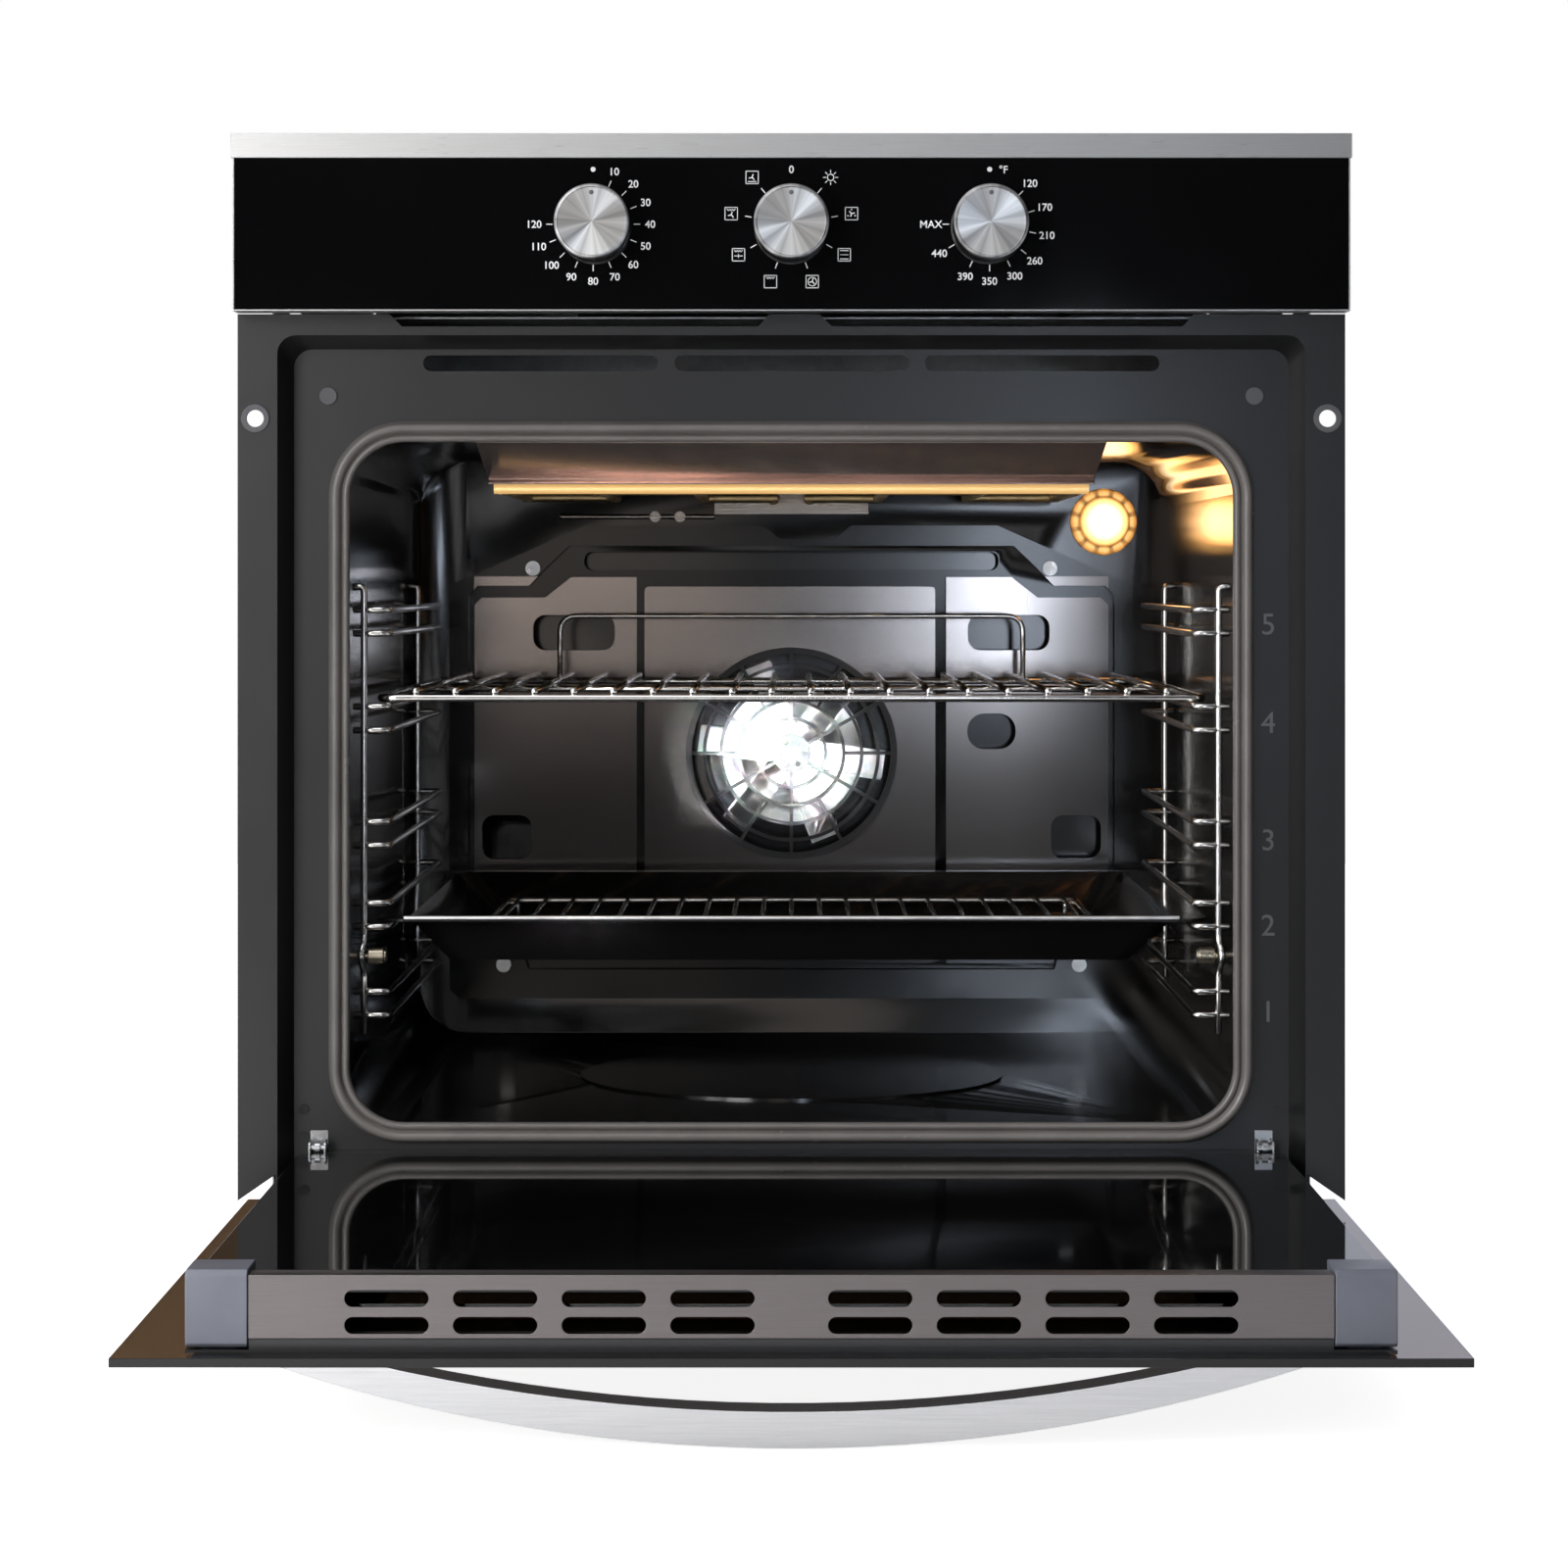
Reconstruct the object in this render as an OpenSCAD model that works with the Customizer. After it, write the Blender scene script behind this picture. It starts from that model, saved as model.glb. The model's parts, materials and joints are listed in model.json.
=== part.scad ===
/* [Front] */
// Width of the oven front
front_w = 595; // [592:1:597]
// Height of the oven front
front_h = 595; // [594:0.5:596]
// Height of the control panel
panel_h = 94.5; // [94:0.5:95]
// How far the control panel and the closed door stand out from the cabinet
panel_out = 21; // [20.8:0.1:21.5]
// Thickness of the control glass and the door glass
glass_t = 4; // [3.5:0.1:4.2]
// Height of the steel strip above the control glass
strip_h = 13; // [11:1:15]
// Width of the opening in the front frame
mouth_w = 552; // [550:1:553]
// Height of the top edge of that opening
mouth_top = 488.7; // [488:0.1:489]
// Width of the recess that the door closes into
recess_w = 538.4; // [537:0.2:540]
// Height of the top edge of the recess
recess_top = 481.9; // [481.5:0.1:482.5]
// Thickness of the front frame's sheet
frame_t = 1; // [0.8:0.1:1.2]
// Distance between the two cabinet screws
screw_spacing = 575.6; // [574:0.2:577]
// Height of the cabinet screws
screw_z = 444; // [430:1:450]
// Diameter of the hole for a cabinet screw
screw_d = 9.2; // [8:0.2:9.4]

/* [Casing] */
// Width of the casing that goes into the cabinet
casing_w = 556; // [554:1:558]
// Depth of the casing behind the cabinet front
casing_d = 545; // [543:1:550]
// Height of the casing
casing_h = 585; // [583:1:588]
// Thickness of the casing's sheet
sheet_t = 1; // [0.8:0.1:1.2]

/* [Cavity] */
// Width of the oven cavity
cavity_w = 482; // [481:1:483]
// Height of the oven cavity
cavity_h = 371; // [369:1:373]
// Height of the cavity floor
cavity_z = 63; // [62.5:0.5:63.5]
// Depth of the cavity behind the recess
cavity_d = 458; // [456:1:460]
// Radius of the cavity's long corners
cavity_r = 30; // [28:1:32]
// Width of the door gasket
gasket_w = 11; // [10:0.5:11]
// How far the gasket stands out of the recess
gasket_out = 7.7; // [7:0.1:7.7]

/* [Fan] */
// Height of the fan's centre
fan_z = 244.8; // [243:1:247]
// Radius of the fan guard
guard_r = 68.6; // [67:0.2:70]
// Radius of the fan
fan_r = 62; // [58:1:64]
// Number of fan blades
fan_blades = 6; // [5:1:8]

/* [Racks] */
// Diameter of the wires of the side racks
wire_d = 4; // [3.6:0.1:4.2]
// Distance between the two rows of guide wires
guide_gap = 440.6; // [440:0.2:441]
// How far the upper rack and the tray slide out
rack_travel = 340; // [250:10:345]
// Width of the upper rack
rack_w = 451.4; // [450:0.2:452]
// Depth of the upper rack and the tray
rack_depth = 390; // [380:2:392]
// Number of long wires in the upper rack
rack_wires = 20; // [16:1:22]
// Width of the tray over its rim
tray_w = 458; // [456:1:459]
// Depth of the tray's basin
tray_depth = 24; // [20:1:26]
// Width of the insert that stands in the tray
insert_w = 358; // [350:2:362]
// Number of long wires in the insert
insert_wires = 21; // [17:1:24]

/* [Door] */
// Height of the outer door glass
door_h = 474; // [473:0.5:475]
// Height of the outer glass's lower edge with the door closed
door_z = 20; // [20:0.1:20.5]
// Width of the door's inner body
body_w = 532.4; // [530:0.4:533]
// Distance from the cabinet front back to the hinge pins
hinge_y = 14.6; // [14.4:0.1:14.8]
// Height of the hinge pins
hinge_z = 49.9; // [49.5:0.1:50.2]
// Diameter of the hinge pins
pin_d = 5; // [4.5:0.1:5]
// How far the bowed handle stands out from the glass
handle_out = 42.5; // [38:0.5:46]
// Half the distance between the ends of the handle
handle_half = 246.6; // [235:1:250]

/* [Knobs] */
// Distance between neighbouring knobs
knob_spacing = 105.5; // [100:0.5:110]
// Height of the knobs' centres
knob_z = 546.6; // [544:0.5:549]
// Diameter of a knob
knob_d = 40; // [36:0.5:42]
// How far a knob stands out from its glass
knob_out = 21; // [18:0.5:22]

/* [Hidden] */
$fn = 48;

// Gap between pieces that pass each other, and between a shaft and its bore
gap = 0.3;
run = 0.05;
panel_z = front_h - panel_h;
frame_top = panel_z - 0.5;
recess_y = panel_out;
frame_bottom = 24;
fold_gap = 2.4;
cavity_y = recess_y + frame_t;
back_y = recess_y + cavity_d;
cavity_top = cavity_z + cavity_h;
chamber_d = 28;
blower_y = 372;
blower_z = 541;
dish_d = 8;
chamber_y = back_y + chamber_d;
door_top = door_z + door_h;
body_z = hinge_z - 5.4;
body_top = 480;
outer_face = -panel_out;
inner_face = 13;
inner_z = 58;
hinge_x = 255.9;
guide_z = [132, 180.5, 225, 288, 341];
guide_drop = 13;
guide_front = 44;
guide_back = 375;
upright_x = 233.9;
rack_front = 49;
rack_bar_z = guide_z[3] + wire_d / 2 + gap + 2.25;
tray_rim_z = guide_z[1] - guide_drop + wire_d / 2 + gap;
tray_floor_z = tray_rim_z - tray_depth;

// Points of an upright rectangle with round corners, centred on the oven's middle plane
function round_rect(w, z0, z1, r, steps = 6) = [
  for (corner = [0:3]) for (i = [0:steps])
    let (
      a = 90 * corner + 90 * i / steps,
      cx = (corner == 0 || corner == 3 ? 1 : -1) * (w / 2 - r),
      cz = corner < 2 ? z1 - r : z0 + r
    )
    [cx + r * cos(a), cz + r * sin(a)]
];

// Extrudes an outline drawn in X and Z from y0 back to y1
module along_y(y0, y1) {
  translate([0, y1, 0]) rotate([90, 0, 0]) linear_extrude(y1 - y0) children();
}

// Extrudes an outline drawn in Y and Z from x0 to x1
module along_x(x0, x1) {
  translate([x0, 0, 0]) rotate([90, 0, 90]) linear_extrude(x1 - x0) children();
}

module block(x0, x1, y0, y1, z0, z1) {
  translate([x0, y0, z0]) cube([x1 - x0, y1 - y0, z1 - z0]);
}

module rod_x(x0, x1, y, z, d) {
  translate([x0, y, z]) rotate([0, 90, 0]) cylinder(h = x1 - x0, d = d);
}

module rod_y(x, y0, y1, z, d) {
  translate([x, y0, z]) rotate([-90, 0, 0]) cylinder(h = y1 - y0, d = d);
}

module rod_z(x, y, z0, z1, d) {
  translate([x, y, z0]) cylinder(h = z1 - z0, d = d);
}

// A straight wire between two points
module wire(a, b, d) {
  v = b - a;
  translate(a)
    rotate([0, acos(v.z / norm(v)), atan2(v.y, v.x)])
      cylinder(h = norm(v), d = d);
}

module both_sides() {
  children();
  mirror([1, 0, 0]) children();
}

// Puts a piece drawn with the door closed where it is with the door open
module open_door() {
  translate([0, hinge_y, hinge_z]) rotate([90, 0, 0]) translate([0, -hinge_y, -hinge_z]) children();
}

// A slot with round ends, drawn in X and Z
module slot_2d(x0, x1, z0, z1) {
  r = (z1 - z0) / 2;
  translate([x0 + r, z0]) square([x1 - x0 - 2 * r, z1 - z0]);
  for (x = [x0 + r, x1 - r]) translate([x, z0 + r]) circle(r);
}

// ---- Front frame -------------------------------------------------------

module flange_outline() {
  half = front_w / 2 - 0.2;
  difference() {
    polygon([[-half, frame_bottom], [-mouth_w / 2 - 1, 38], [mouth_w / 2 + 1, 38], [half, frame_bottom],
             [half, frame_top], [-half, frame_top]]);
    polygon(round_rect(mouth_w, -60, mouth_top, 10));
    for (notch = [[-217, -10.8], [13.9, 217]])
      polygon([[notch[0], frame_top + 1], [notch[0] + 8, frame_top - 6.6],
               [notch[1] - 7, frame_top - 6.6], [notch[1], frame_top + 1]]);
  }
}

// The tapered wall between the flange and the recess
module funnel_solid(grow, reach) {
  hull() {
    along_y(-frame_t - reach, -reach) polygon(round_rect(mouth_w + 2 * grow, -60, mouth_top + grow, 10));
    along_y(recess_y + reach, cavity_y + reach)
      polygon(round_rect(recess_w + 2 * grow, -60, recess_top + grow, 10));
  }
}

module front_frame() {
  color("#2c2c2e") difference() {
    union() {
      along_y(-frame_t, 0) flange_outline();
      both_sides() block(casing_w / 2 - frame_t, casing_w / 2, -frame_t, 12, 40, mouth_top - 5);
      difference() {
        funnel_solid(frame_t, 0);
        funnel_solid(0, 0.1);
      }
      along_y(recess_y, cavity_y) polygon(round_rect(recess_w + 1, -60, recess_top + 0.5, 10));
    }
    block(-mouth_w / 2 - 5, mouth_w / 2 + 5, -2, cavity_y + 1, -80, frame_bottom);
    along_y(recess_y - 1, cavity_y + 1) {
      polygon(round_rect(cavity_w, cavity_z, cavity_top, cavity_r));
      for (x = [-199.5, -63.2, 72.5]) slot_2d(x, x + 127, 470.5, 479);
    }
    for (side = [-1, 1]) {
      rod_y(side * screw_spacing / 2, -2, 2, screw_z, 12);
      rod_y(side * 251, recess_y - 1, cavity_y + 1, 457, 5);
      block(side * hinge_x - 3, side * hinge_x + 3, recess_y - 1, cavity_y + 1, 36, 50.5);
      for (z = [55.3, 70.2]) rod_y(side * 264.2, recess_y - 1, cavity_y + 1, z, 3);
    }
  }
}

// Collars that line the holes for the cabinet screws
module front_bushes() {
  color("#56565a") both_sides() difference() {
    union() {
      rod_y(screw_spacing / 2, -frame_t - 1.2, -frame_t, screw_z, 15.2);
      rod_y(screw_spacing / 2, -frame_t, 0, screw_z, 12);
    }
    rod_y(screw_spacing / 2, -5, 2, screw_z, screw_d);
  }
}

module frame_plugs() {
  color("#6c6c70") both_sides() {
    rod_y(251, recess_y - 1.4, recess_y, 457, 9.8);
    rod_y(251, recess_y, cavity_y + 2, 457, 5);
  }
}

// Small round stops in the recess beside the door's lower corners
module door_buffers() {
  color("#17171a") both_sides() for (z = [55.3, 70.2]) {
    rod_y(264.2, recess_y - 0.9, recess_y, z, 5.6);
    rod_y(264.2, recess_y, cavity_y + 1.5, z, 3);
  }
}

module door_gasket() {
  outer_w = 501.2;
  z0 = 52.2;
  z1 = 443.3;
  lip = 2;
  color("#57544f") difference() {
    union() {
      along_y(recess_y - gasket_out, recess_y - lip)
        polygon(round_rect(outer_w - 2, z0 + 1, z1 - 1, 40, 10));
      along_y(recess_y - lip, recess_y) polygon(round_rect(outer_w, z0, z1, 41, 10));
    }
    along_y(recess_y - gasket_out - 1, recess_y + 1)
      polygon(round_rect(outer_w - 2 * gasket_w - 1, z0 + gasket_w + 0.5, z1 - gasket_w - 0.5, 30, 10));
  }
}

// ---- Cavity --------------------------------------------------------------

module cavity_outline(grow) {
  polygon(round_rect(cavity_w + 2 * grow, cavity_z - grow, cavity_top + grow, cavity_r + grow, 8));
}

// Outline of the dish in the fan cover, and a little larger of the chamber behind it
module dish_outline(grow) {
  side = [[172 + grow, 103 - grow], [176 + grow, 116 - grow], [205 + grow, 116 - grow],
          [211 + grow, 122 - grow], [211 + grow, 348 + grow], [205 + grow, 354.5 + grow],
          [171 + grow / 2, 354.5 + grow], [160, 366 + 1.4 * grow], [145 + grow / 2, 380.4 + grow]];
  polygon([for (p = side) p, for (i = [8:-1:0]) [-side[i].x, side[i].y]]);
}

// The enamelled box with its shallow fan chamber at the back
module cavity_liner() {
  color("#1b1a1a") difference() {
    union() {
      along_y(cavity_y, back_y) difference() {
        cavity_outline(sheet_t);
        cavity_outline(0);
      }
      along_y(back_y, back_y + sheet_t) cavity_outline(sheet_t);
      along_y(back_y, chamber_y + sheet_t) dish_outline(1 + sheet_t);
      rod_z(0, 243, cavity_z - 0.5, cavity_z + 1.2, 250);
    }
    along_y(back_y - 1, chamber_y) dish_outline(1);
    rod_y(0, chamber_y - 1, chamber_y + 5, fan_z, 16);
    rod_y(202.8, back_y - 1, back_y + 5, 395, 36);
    for (x = [-10, 10]) rod_y(x, chamber_y - 1, chamber_y + 5, fan_z + 100, 8);
    for (x = [-12, 12]) rod_y(x, back_y - 1, back_y + 5, 410, 8);
    for (x = [-88.4, -72.3]) rod_y(x, back_y - 1, back_y + 5, 398.3, 4);
    both_sides() for (p = [[187, 107.2], [168, 364.7]]) rod_y(p[0], back_y - 1, back_y + 2, p[1], 4);
    both_sides() rod_x(cavity_w / 2 - 1, cavity_w / 2 + 5, guide_front, 151.7, 4);
  }
}

// Outline of the fan cover, with its upper corners cut off
module cover_outline() {
  polygon([[-216, 85.2], [216, 85.2], [222.3, 91], [222.3, 353.6], [134, 392.7], [38.9, 392.7],
           [28, 383.8], [-7.5, 383.8], [-19.8, 392.7], [-134, 392.7], [-222.3, 353.6], [-222.3, 91]]);
}

// The three raised panels of the fan cover
module panel_outline(index) {
  side = [[206, 127], [206, 341], [201, 345.8], [160, 345.8], [143, 359.1], [100.6, 359.1], [100.6, 108],
          [170, 108], [174, 121], [200, 121]];
  if (index == 0) polygon([for (p = side) [-p.x, p.y]]);
  if (index == 1) polygon(round_rect_at(-1, 230.5, 189, 244.8, 3));
  if (index == 2) polygon(side);
}

function round_rect_at(x, z, w, h, r) = [for (p = round_rect(w, z - h / 2, z + h / 2, r)) [p.x + x, p.y]];

module circle_at(x, z, r) {
  translate([x, z]) circle(r);
}

module fan_cover() {
  color("#3d3936") difference() {
    union() {
      along_y(back_y - 1, back_y) difference() {
        cover_outline();
        dish_outline(-1);
      }
      along_y(back_y - 1, back_y + dish_d) difference() {
        dish_outline(0);
        dish_outline(-1);
      }
      along_y(back_y + dish_d - 1, back_y + dish_d) dish_outline(0);
      for (i = [0:2]) along_y(back_y - 1, back_y + dish_d) panel_outline(i);
    }
    for (i = [-1, 1]) {
      along_y(back_y, back_y + dish_d + 1) polygon(round_rect_at(i * 140, 227, 60, 222, 3));
      rod_y(i * 187, back_y - 3, back_y + 1, 107.2, 4);
      rod_y(i * 168, back_y - 3, back_y + 1, 364.7, 4);
    }
    along_y(back_y, back_y + dish_d + 1) polygon(round_rect_at(-1, 230.5, 187, 242.8, 3));
    along_y(back_y - 3, back_y + dish_d + 1) {
      circle_at(0, fan_z, guard_r - 2.4);
      polygon(round_rect_at(0, 369.5, 270, 12, 5));
      for (side = [-1, 1]) {
        polygon(round_rect_at(side * 141.3, 323, 53, 23, 8));
        polygon(round_rect_at(side * 185, 190, 32.5, 28.6, 8));
      }
      polygon(round_rect_at(130.1, 258.8, 31.5, 23.2, 11));
    }
  }
}

// Pressed grille in front of the fan
module fan_guard() {
  front = back_y - 4;
  rings = [22.3, 34, 45.7, 56.4];
  web = 2.2;
  color("#4a4744") along_y(front, front + 3) difference() {
    translate([0, fan_z]) union() {
      difference() {
        circle(guard_r);
        circle(guard_r - 4);
      }
      for (r = rings) difference() {
        circle(r + web / 2);
        circle(r - web / 2);
      }
      circle(12.5);
      for (a = [30:60:330]) rotate(a) translate([11, -web / 2]) square([guard_r - 13, web]);
      for (a = [0:60:300]) rotate(a) translate([rings[1], -web / 2]) square([guard_r - 2 - rings[1], web]);
    }
    for (a = [0:60:300]) translate([8.2 * cos(a), fan_z + 8.2 * sin(a)]) circle(1.4);
  }
}

module fan_cover_screws() {
  color("#c9c8c4") both_sides() for (p = [[187, 107.2], [168, 364.7]]) difference() {
    union() {
      rod_y(p[0], back_y - 3.4, back_y - 1, p[1], 9.6);
      rod_y(p[0], back_y - 1, back_y + 1.3, p[1], 3.9);
    }
    block(p[0] - 2.6, p[0] + 2.6, back_y - 4, back_y - 2.2, p[1] - 0.5, p[1] + 0.5);
    block(p[0] - 0.5, p[0] + 0.5, back_y - 4, back_y - 2.2, p[1] - 2.6, p[1] + 2.6);
  }
}

// ---- Fan and heating elements ------------------------------------------

module ring_element() {
  ring_r = 92;
  ring_y = back_y + 17;
  color("#4b4542") {
    translate([0, ring_y, fan_z]) rotate([90, 0, 0]) rotate([0, 0, 98]) rotate_extrude(angle = 344)
      translate([ring_r, 0]) circle(d = 6.4);
    for (x = [-1, 1]) {
      rod_y(x * 10, ring_y - 2, chamber_y + 14, fan_z + 100, 6.5);
      rod_z(x * 10, ring_y, fan_z + ring_r - 2, fan_z + 101, 6.2);
      rod_y(x * 10, chamber_y + 14, chamber_y + 22, fan_z + 100, 3);
    }
  }
}

module convection_fan() {
  front = back_y + 5;
  back = back_y + 22;
  color("#d8d8d6") {
    rod_y(0, back - 1, back, fan_z, 2 * fan_r - 30);
    rod_y(0, back - 12, back, fan_z, 14);
    translate([0, 0, fan_z]) for (i = [0:fan_blades - 1]) rotate([0, i * 360 / fan_blades + 8, 0]) {
      block(8, fan_r - 1, back - 1, back, -9, 9);
      block(14, fan_r - 2, front, back, -9.6, -8.6);
    }
    rod_y(0, back_y + 6, chamber_y + 40, fan_z, 6);
  }
}

module fan_motor() {
  y0 = chamber_y + sheet_t;
  color("#8d8f92") difference() {
    union() {
      rod_y(0, y0, y0 + 3, fan_z, 60);
      block(-32, 32, y0 + 3, y0 + 8, fan_z - 32, fan_z + 32);
      block(-28, 28, y0 + 8, y0 + 26, fan_z - 38, fan_z + 30);
      rod_y(0, y0 + 26, y0 + 32, fan_z, 24);
    }
    rod_y(0, y0 - 1, y0 + 40, fan_z, 6 + 2 * run);
    block(-14, 14, y0 + 8, y0 + 27, fan_z - 30, fan_z - 20);
  }
}

// The grill element: one tube that runs along the front and folds back on both sides under the roof
module grill_element() {
  plane_z = 410;
  outer_leg = 168;
  middle_leg = 112;
  inner_leg = 56;
  end_leg = 12;
  front_y = 165;
  fold_y = 205;
  rear_y = 430;
  end_y = 455;
  color("#6e5a3c") {
    rod_x(-outer_leg - 3.2, outer_leg + 3.2, front_y, plane_z, 6.3);
    for (side = [-1, 1]) {
      rod_y(side * outer_leg, front_y, rear_y, plane_z, 6.5);
      grill_fold(side, middle_leg, outer_leg, rear_y, plane_z, 6.3);
      rod_y(side * middle_leg, fold_y, rear_y, plane_z, 6.5);
      grill_fold(side, inner_leg, middle_leg, fold_y, plane_z, 6.3);
      rod_y(side * inner_leg, fold_y, end_y, plane_z, 6.5);
      grill_fold(side, end_leg, inner_leg, end_y, plane_z, 6.2);
      rod_y(side * end_leg, end_y - 1, back_y + 20, plane_z, 6.5);
    }
  }
}

// A cross run of the grill element between two of its legs
module grill_fold(side, near, far, y, z, d) {
  rod_x(min(side * (near - 3.2), side * (far + 3.2)), max(side * (near - 3.2), side * (far + 3.2)), y, z, d);
}

// Plate on the back wall that carries the grill element's ends
module grill_bracket() {
  color("#8a7c6b") difference() {
    union() {
      block(-50, 50, back_y - 1.2, back_y, 401, 418);
      block(-50, 50, back_y - 12, back_y, 400, 401.2);
    }
    for (x = [-12, 12]) rod_y(x, back_y - 3, back_y + 3, 410, 8);
  }
}

// Sloped plate that keeps the grill's heat away from the door
module grill_deflector() {
  color("#2a2725") along_x(-174, 174)
    polygon([[60, cavity_top], [64, cavity_top], [159, 415.9], [159, 414.9], [152, 412], [151.4, 412.8],
             [156.8, 415.1], [60, 433]]);
}

module bottom_element() {
  plane_z = 54;
  color("#4b4542") {
    for (x = [-150, -90, 90, 150]) rod_y(x, 90, 420, plane_z, 6.5);
    for (side = [-1, 1]) {
      rod_x(min(side * 87, side * 153), max(side * 87, side * 153), 90, plane_z, 6.3);
      rod_y(side * 150, 418, 500, plane_z, 6.4);
    }
    rod_x(-93, 93, 420, plane_z, 6.3);
  }
}

module lamp_holder() {
  color("#b9b4a8") translate([202.8, back_y, 395]) rotate([-90, 0, 0]) difference() {
    union() {
      cylinder(h = 26, d = 34);
      translate([0, 0, sheet_t]) cylinder(h = 1.2, d = 42);
    }
    translate([0, 0, -1]) cylinder(h = 22, d = 31);
  }
}

module lamp_bulb() {
  color("#ffe9b8") translate([202.8, back_y, 395]) rotate([-90, 0, 0]) {
    translate([0, 0, -1]) cylinder(h = 14, d = 24);
    translate([0, 0, 13]) cylinder(h = 8, d = 14);
  }
}

module lamp_cover() {
  color("#cfc8b8") translate([202.8, back_y, 395]) rotate([-90, 0, 0]) difference() {
    union() {
      translate([0, 0, -6]) cylinder(h = 6, d = 43.4);
      translate([0, 0, -14]) cylinder(h = 9, d = 33.2);
    }
    translate([0, 0, -12.5]) cylinder(h = 20, d = 30);
    for (a = [0:45:315]) rotate(a) translate([20.4, 0, -7]) cylinder(h = 3, d = 5, $fn = 24);
  }
}

// Temperature probe and its two clips on the back wall
module thermostat_probe() {
  color("#b8b3a8") {
    for (x = [-88.4, -72.3]) difference() {
      union() {
        rod_y(x, back_y - 8, back_y, 398.3, 7);
        rod_y(x, back_y, back_y + 3, 398.3, 3.9);
      }
      rod_x(x - 5, x + 5, back_y - 5, 398.3, 3.4);
    }
    rod_x(-150, -50, back_y - 5, 398.3, 3.4);
  }
}

// ---- Racks and tray -----------------------------------------------------

// Wire frame on the right wall; the left one is its mirror image
module side_rack() {
  inner = guide_gap / 2;
  for (y = [guide_front, guide_back]) {
    rod_z(upright_x, y, 158, 355, wire_d);
    rod_z(upright_x, y, 108.7, 145, wire_d);
    wire([upright_x, y, 158.5], [upright_x + 2, y - 5.4, 151.7], wire_d - 0.2);
    wire([upright_x + 2, y - 5.4, 151.7], [upright_x, y, 144.5], wire_d - 0.3);
    rod_x(upright_x, cavity_w / 2, y, 353.6, wire_d - 0.2);
  }
  for (z = guide_z) for (drop = [0, guide_drop]) {
    rod_y(inner, guide_front, guide_back, z - drop, wire_d);
    for (y = [guide_front, guide_back])
      rod_x(inner, cavity_w / 2 - 1, y, z - drop, wire_d - 0.2);
  }
}

module side_rack_left() {
  color("#bdbcb8") mirror([1, 0, 0]) side_rack();
}

module side_rack_right() {
  color("#bdbcb8") side_rack();
}

// Knurled nuts that hold the side racks to the walls
module side_rack_nuts() {
  color("#a39a85") both_sides() {
    rod_x(223, 231.5, guide_front, 151.7, 9);
    rod_x(221.6, 223, guide_front, 151.7, 7);
    rod_x(231, cavity_w / 2 + 6, guide_front, 151.7, 3.9);
  }
}

module upper_rack() {
  side = rack_w / 2;
  back = rack_front + rack_depth;
  bar_d = 4.5;
  long_d = 4.1;
  pitch = 412 / (rack_wires - 1);
  color("#c4c2be") {
    for (y = [rack_front, back]) rod_x(-side - 2, side + 2, y, rack_bar_z, bar_d);
    both_sides() rod_y(side, rack_front, back, rack_bar_z, bar_d - 0.2);
    rod_x(-side, side, (rack_front + back) / 2, rack_bar_z, bar_d - 0.3);
    for (i = [0:rack_wires - 1])
      rod_y(-206 + i * pitch, rack_front - 2, back + 2, rack_bar_z + 3.7, long_d);
    both_sides() {
      rod_z(148, back - 6, rack_bar_z - 3, 331, 3.5);
      wire([148, back - 6, 330.4], [142, back - 6, 334.4], 3.4);
    }
    rod_x(-142.5, 142.5, back - 6, 334.2, 3.5);
    rod_x(-206, 206, back - 9, rack_bar_z + 0.1, 3.6);
  }
}

module basin_solid(inset, lift) {
  hull() {
    translate([0, 0, tray_rim_z + 0.6 + lift]) linear_extrude(0.1)
      polygon(plan_rect(426 - 2 * inset, rack_front + 16 + inset, rack_front + rack_depth - 14 - inset, 16));
    translate([0, 0, tray_floor_z + inset]) linear_extrude(0.1)
      polygon(plan_rect(384 - 2 * inset, rack_front + 34 + inset, rack_front + rack_depth - 32 - inset, 14));
  }
}

// Points of a rectangle with round corners, seen from above
function plan_rect(w, y0, y1, r) = round_rect(w, y0, y1, r, 5);

module baking_tray() {
  color("#1d1c1c") difference() {
    union() {
      translate([0, 0, tray_rim_z]) linear_extrude(1.4)
        polygon(plan_rect(tray_w, rack_front, rack_front + rack_depth, 18));
      basin_solid(0, 0);
      rod_x(-tray_w / 2 + 16, tray_w / 2 - 16, rack_front + 1.3, tray_rim_z + 0.9, 2.8);
    }
    basin_solid(1, 1.5);
  }
}

// Wire insert that stands on the tray's floor
module tray_insert() {
  side = insert_w / 2;
  front = rack_front + 42;
  back = 398;
  surface_z = tray_floor_z + 1 + gap + 8;
  pitch = (insert_w - 18) / (insert_wires - 1);
  color("#b5b2ad") {
    for (y = [front, back]) rod_x(-side - 1, side + 1, y, surface_z, 4);
    both_sides() rod_y(side, front, back, surface_z, 3.8);
    for (i = [0:insert_wires - 1])
      rod_y(-side + 9 + i * pitch, front - 1, back + 1, surface_z + 2.6, 2.8);
    both_sides() for (y = [front + 24, back - 24]) rod_z(side - 8, y, tray_floor_z + 1 + gap, surface_z + 1.5, 3);
    both_sides() for (y = [front + 24, back - 24]) rod_x(side - 9, side, y, surface_z + 0.2, 3.4);
  }
}

// ---- Casing ----------------------------------------------------------------

module base_plate() {
  half = casing_w / 2;
  color("#9b9d9e") difference() {
    union() {
      block(-half, half, -frame_t, casing_d, 0, 1.2);
      both_sides() block(half - 1.2, half, 66, casing_d, 0, 24);
      block(-half, half, 64, 66, 0, 22);
      block(-half, half, casing_d - 1.2, casing_d, 0, 24);
    }
    for (x = [-200:50:200]) block(x - 15, x + 15, 60, 70, 6, 18);
    for (x = [-180:90:180]) block(x - 30, x + 30, 120, 126, -1, 2);
  }
}

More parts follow.
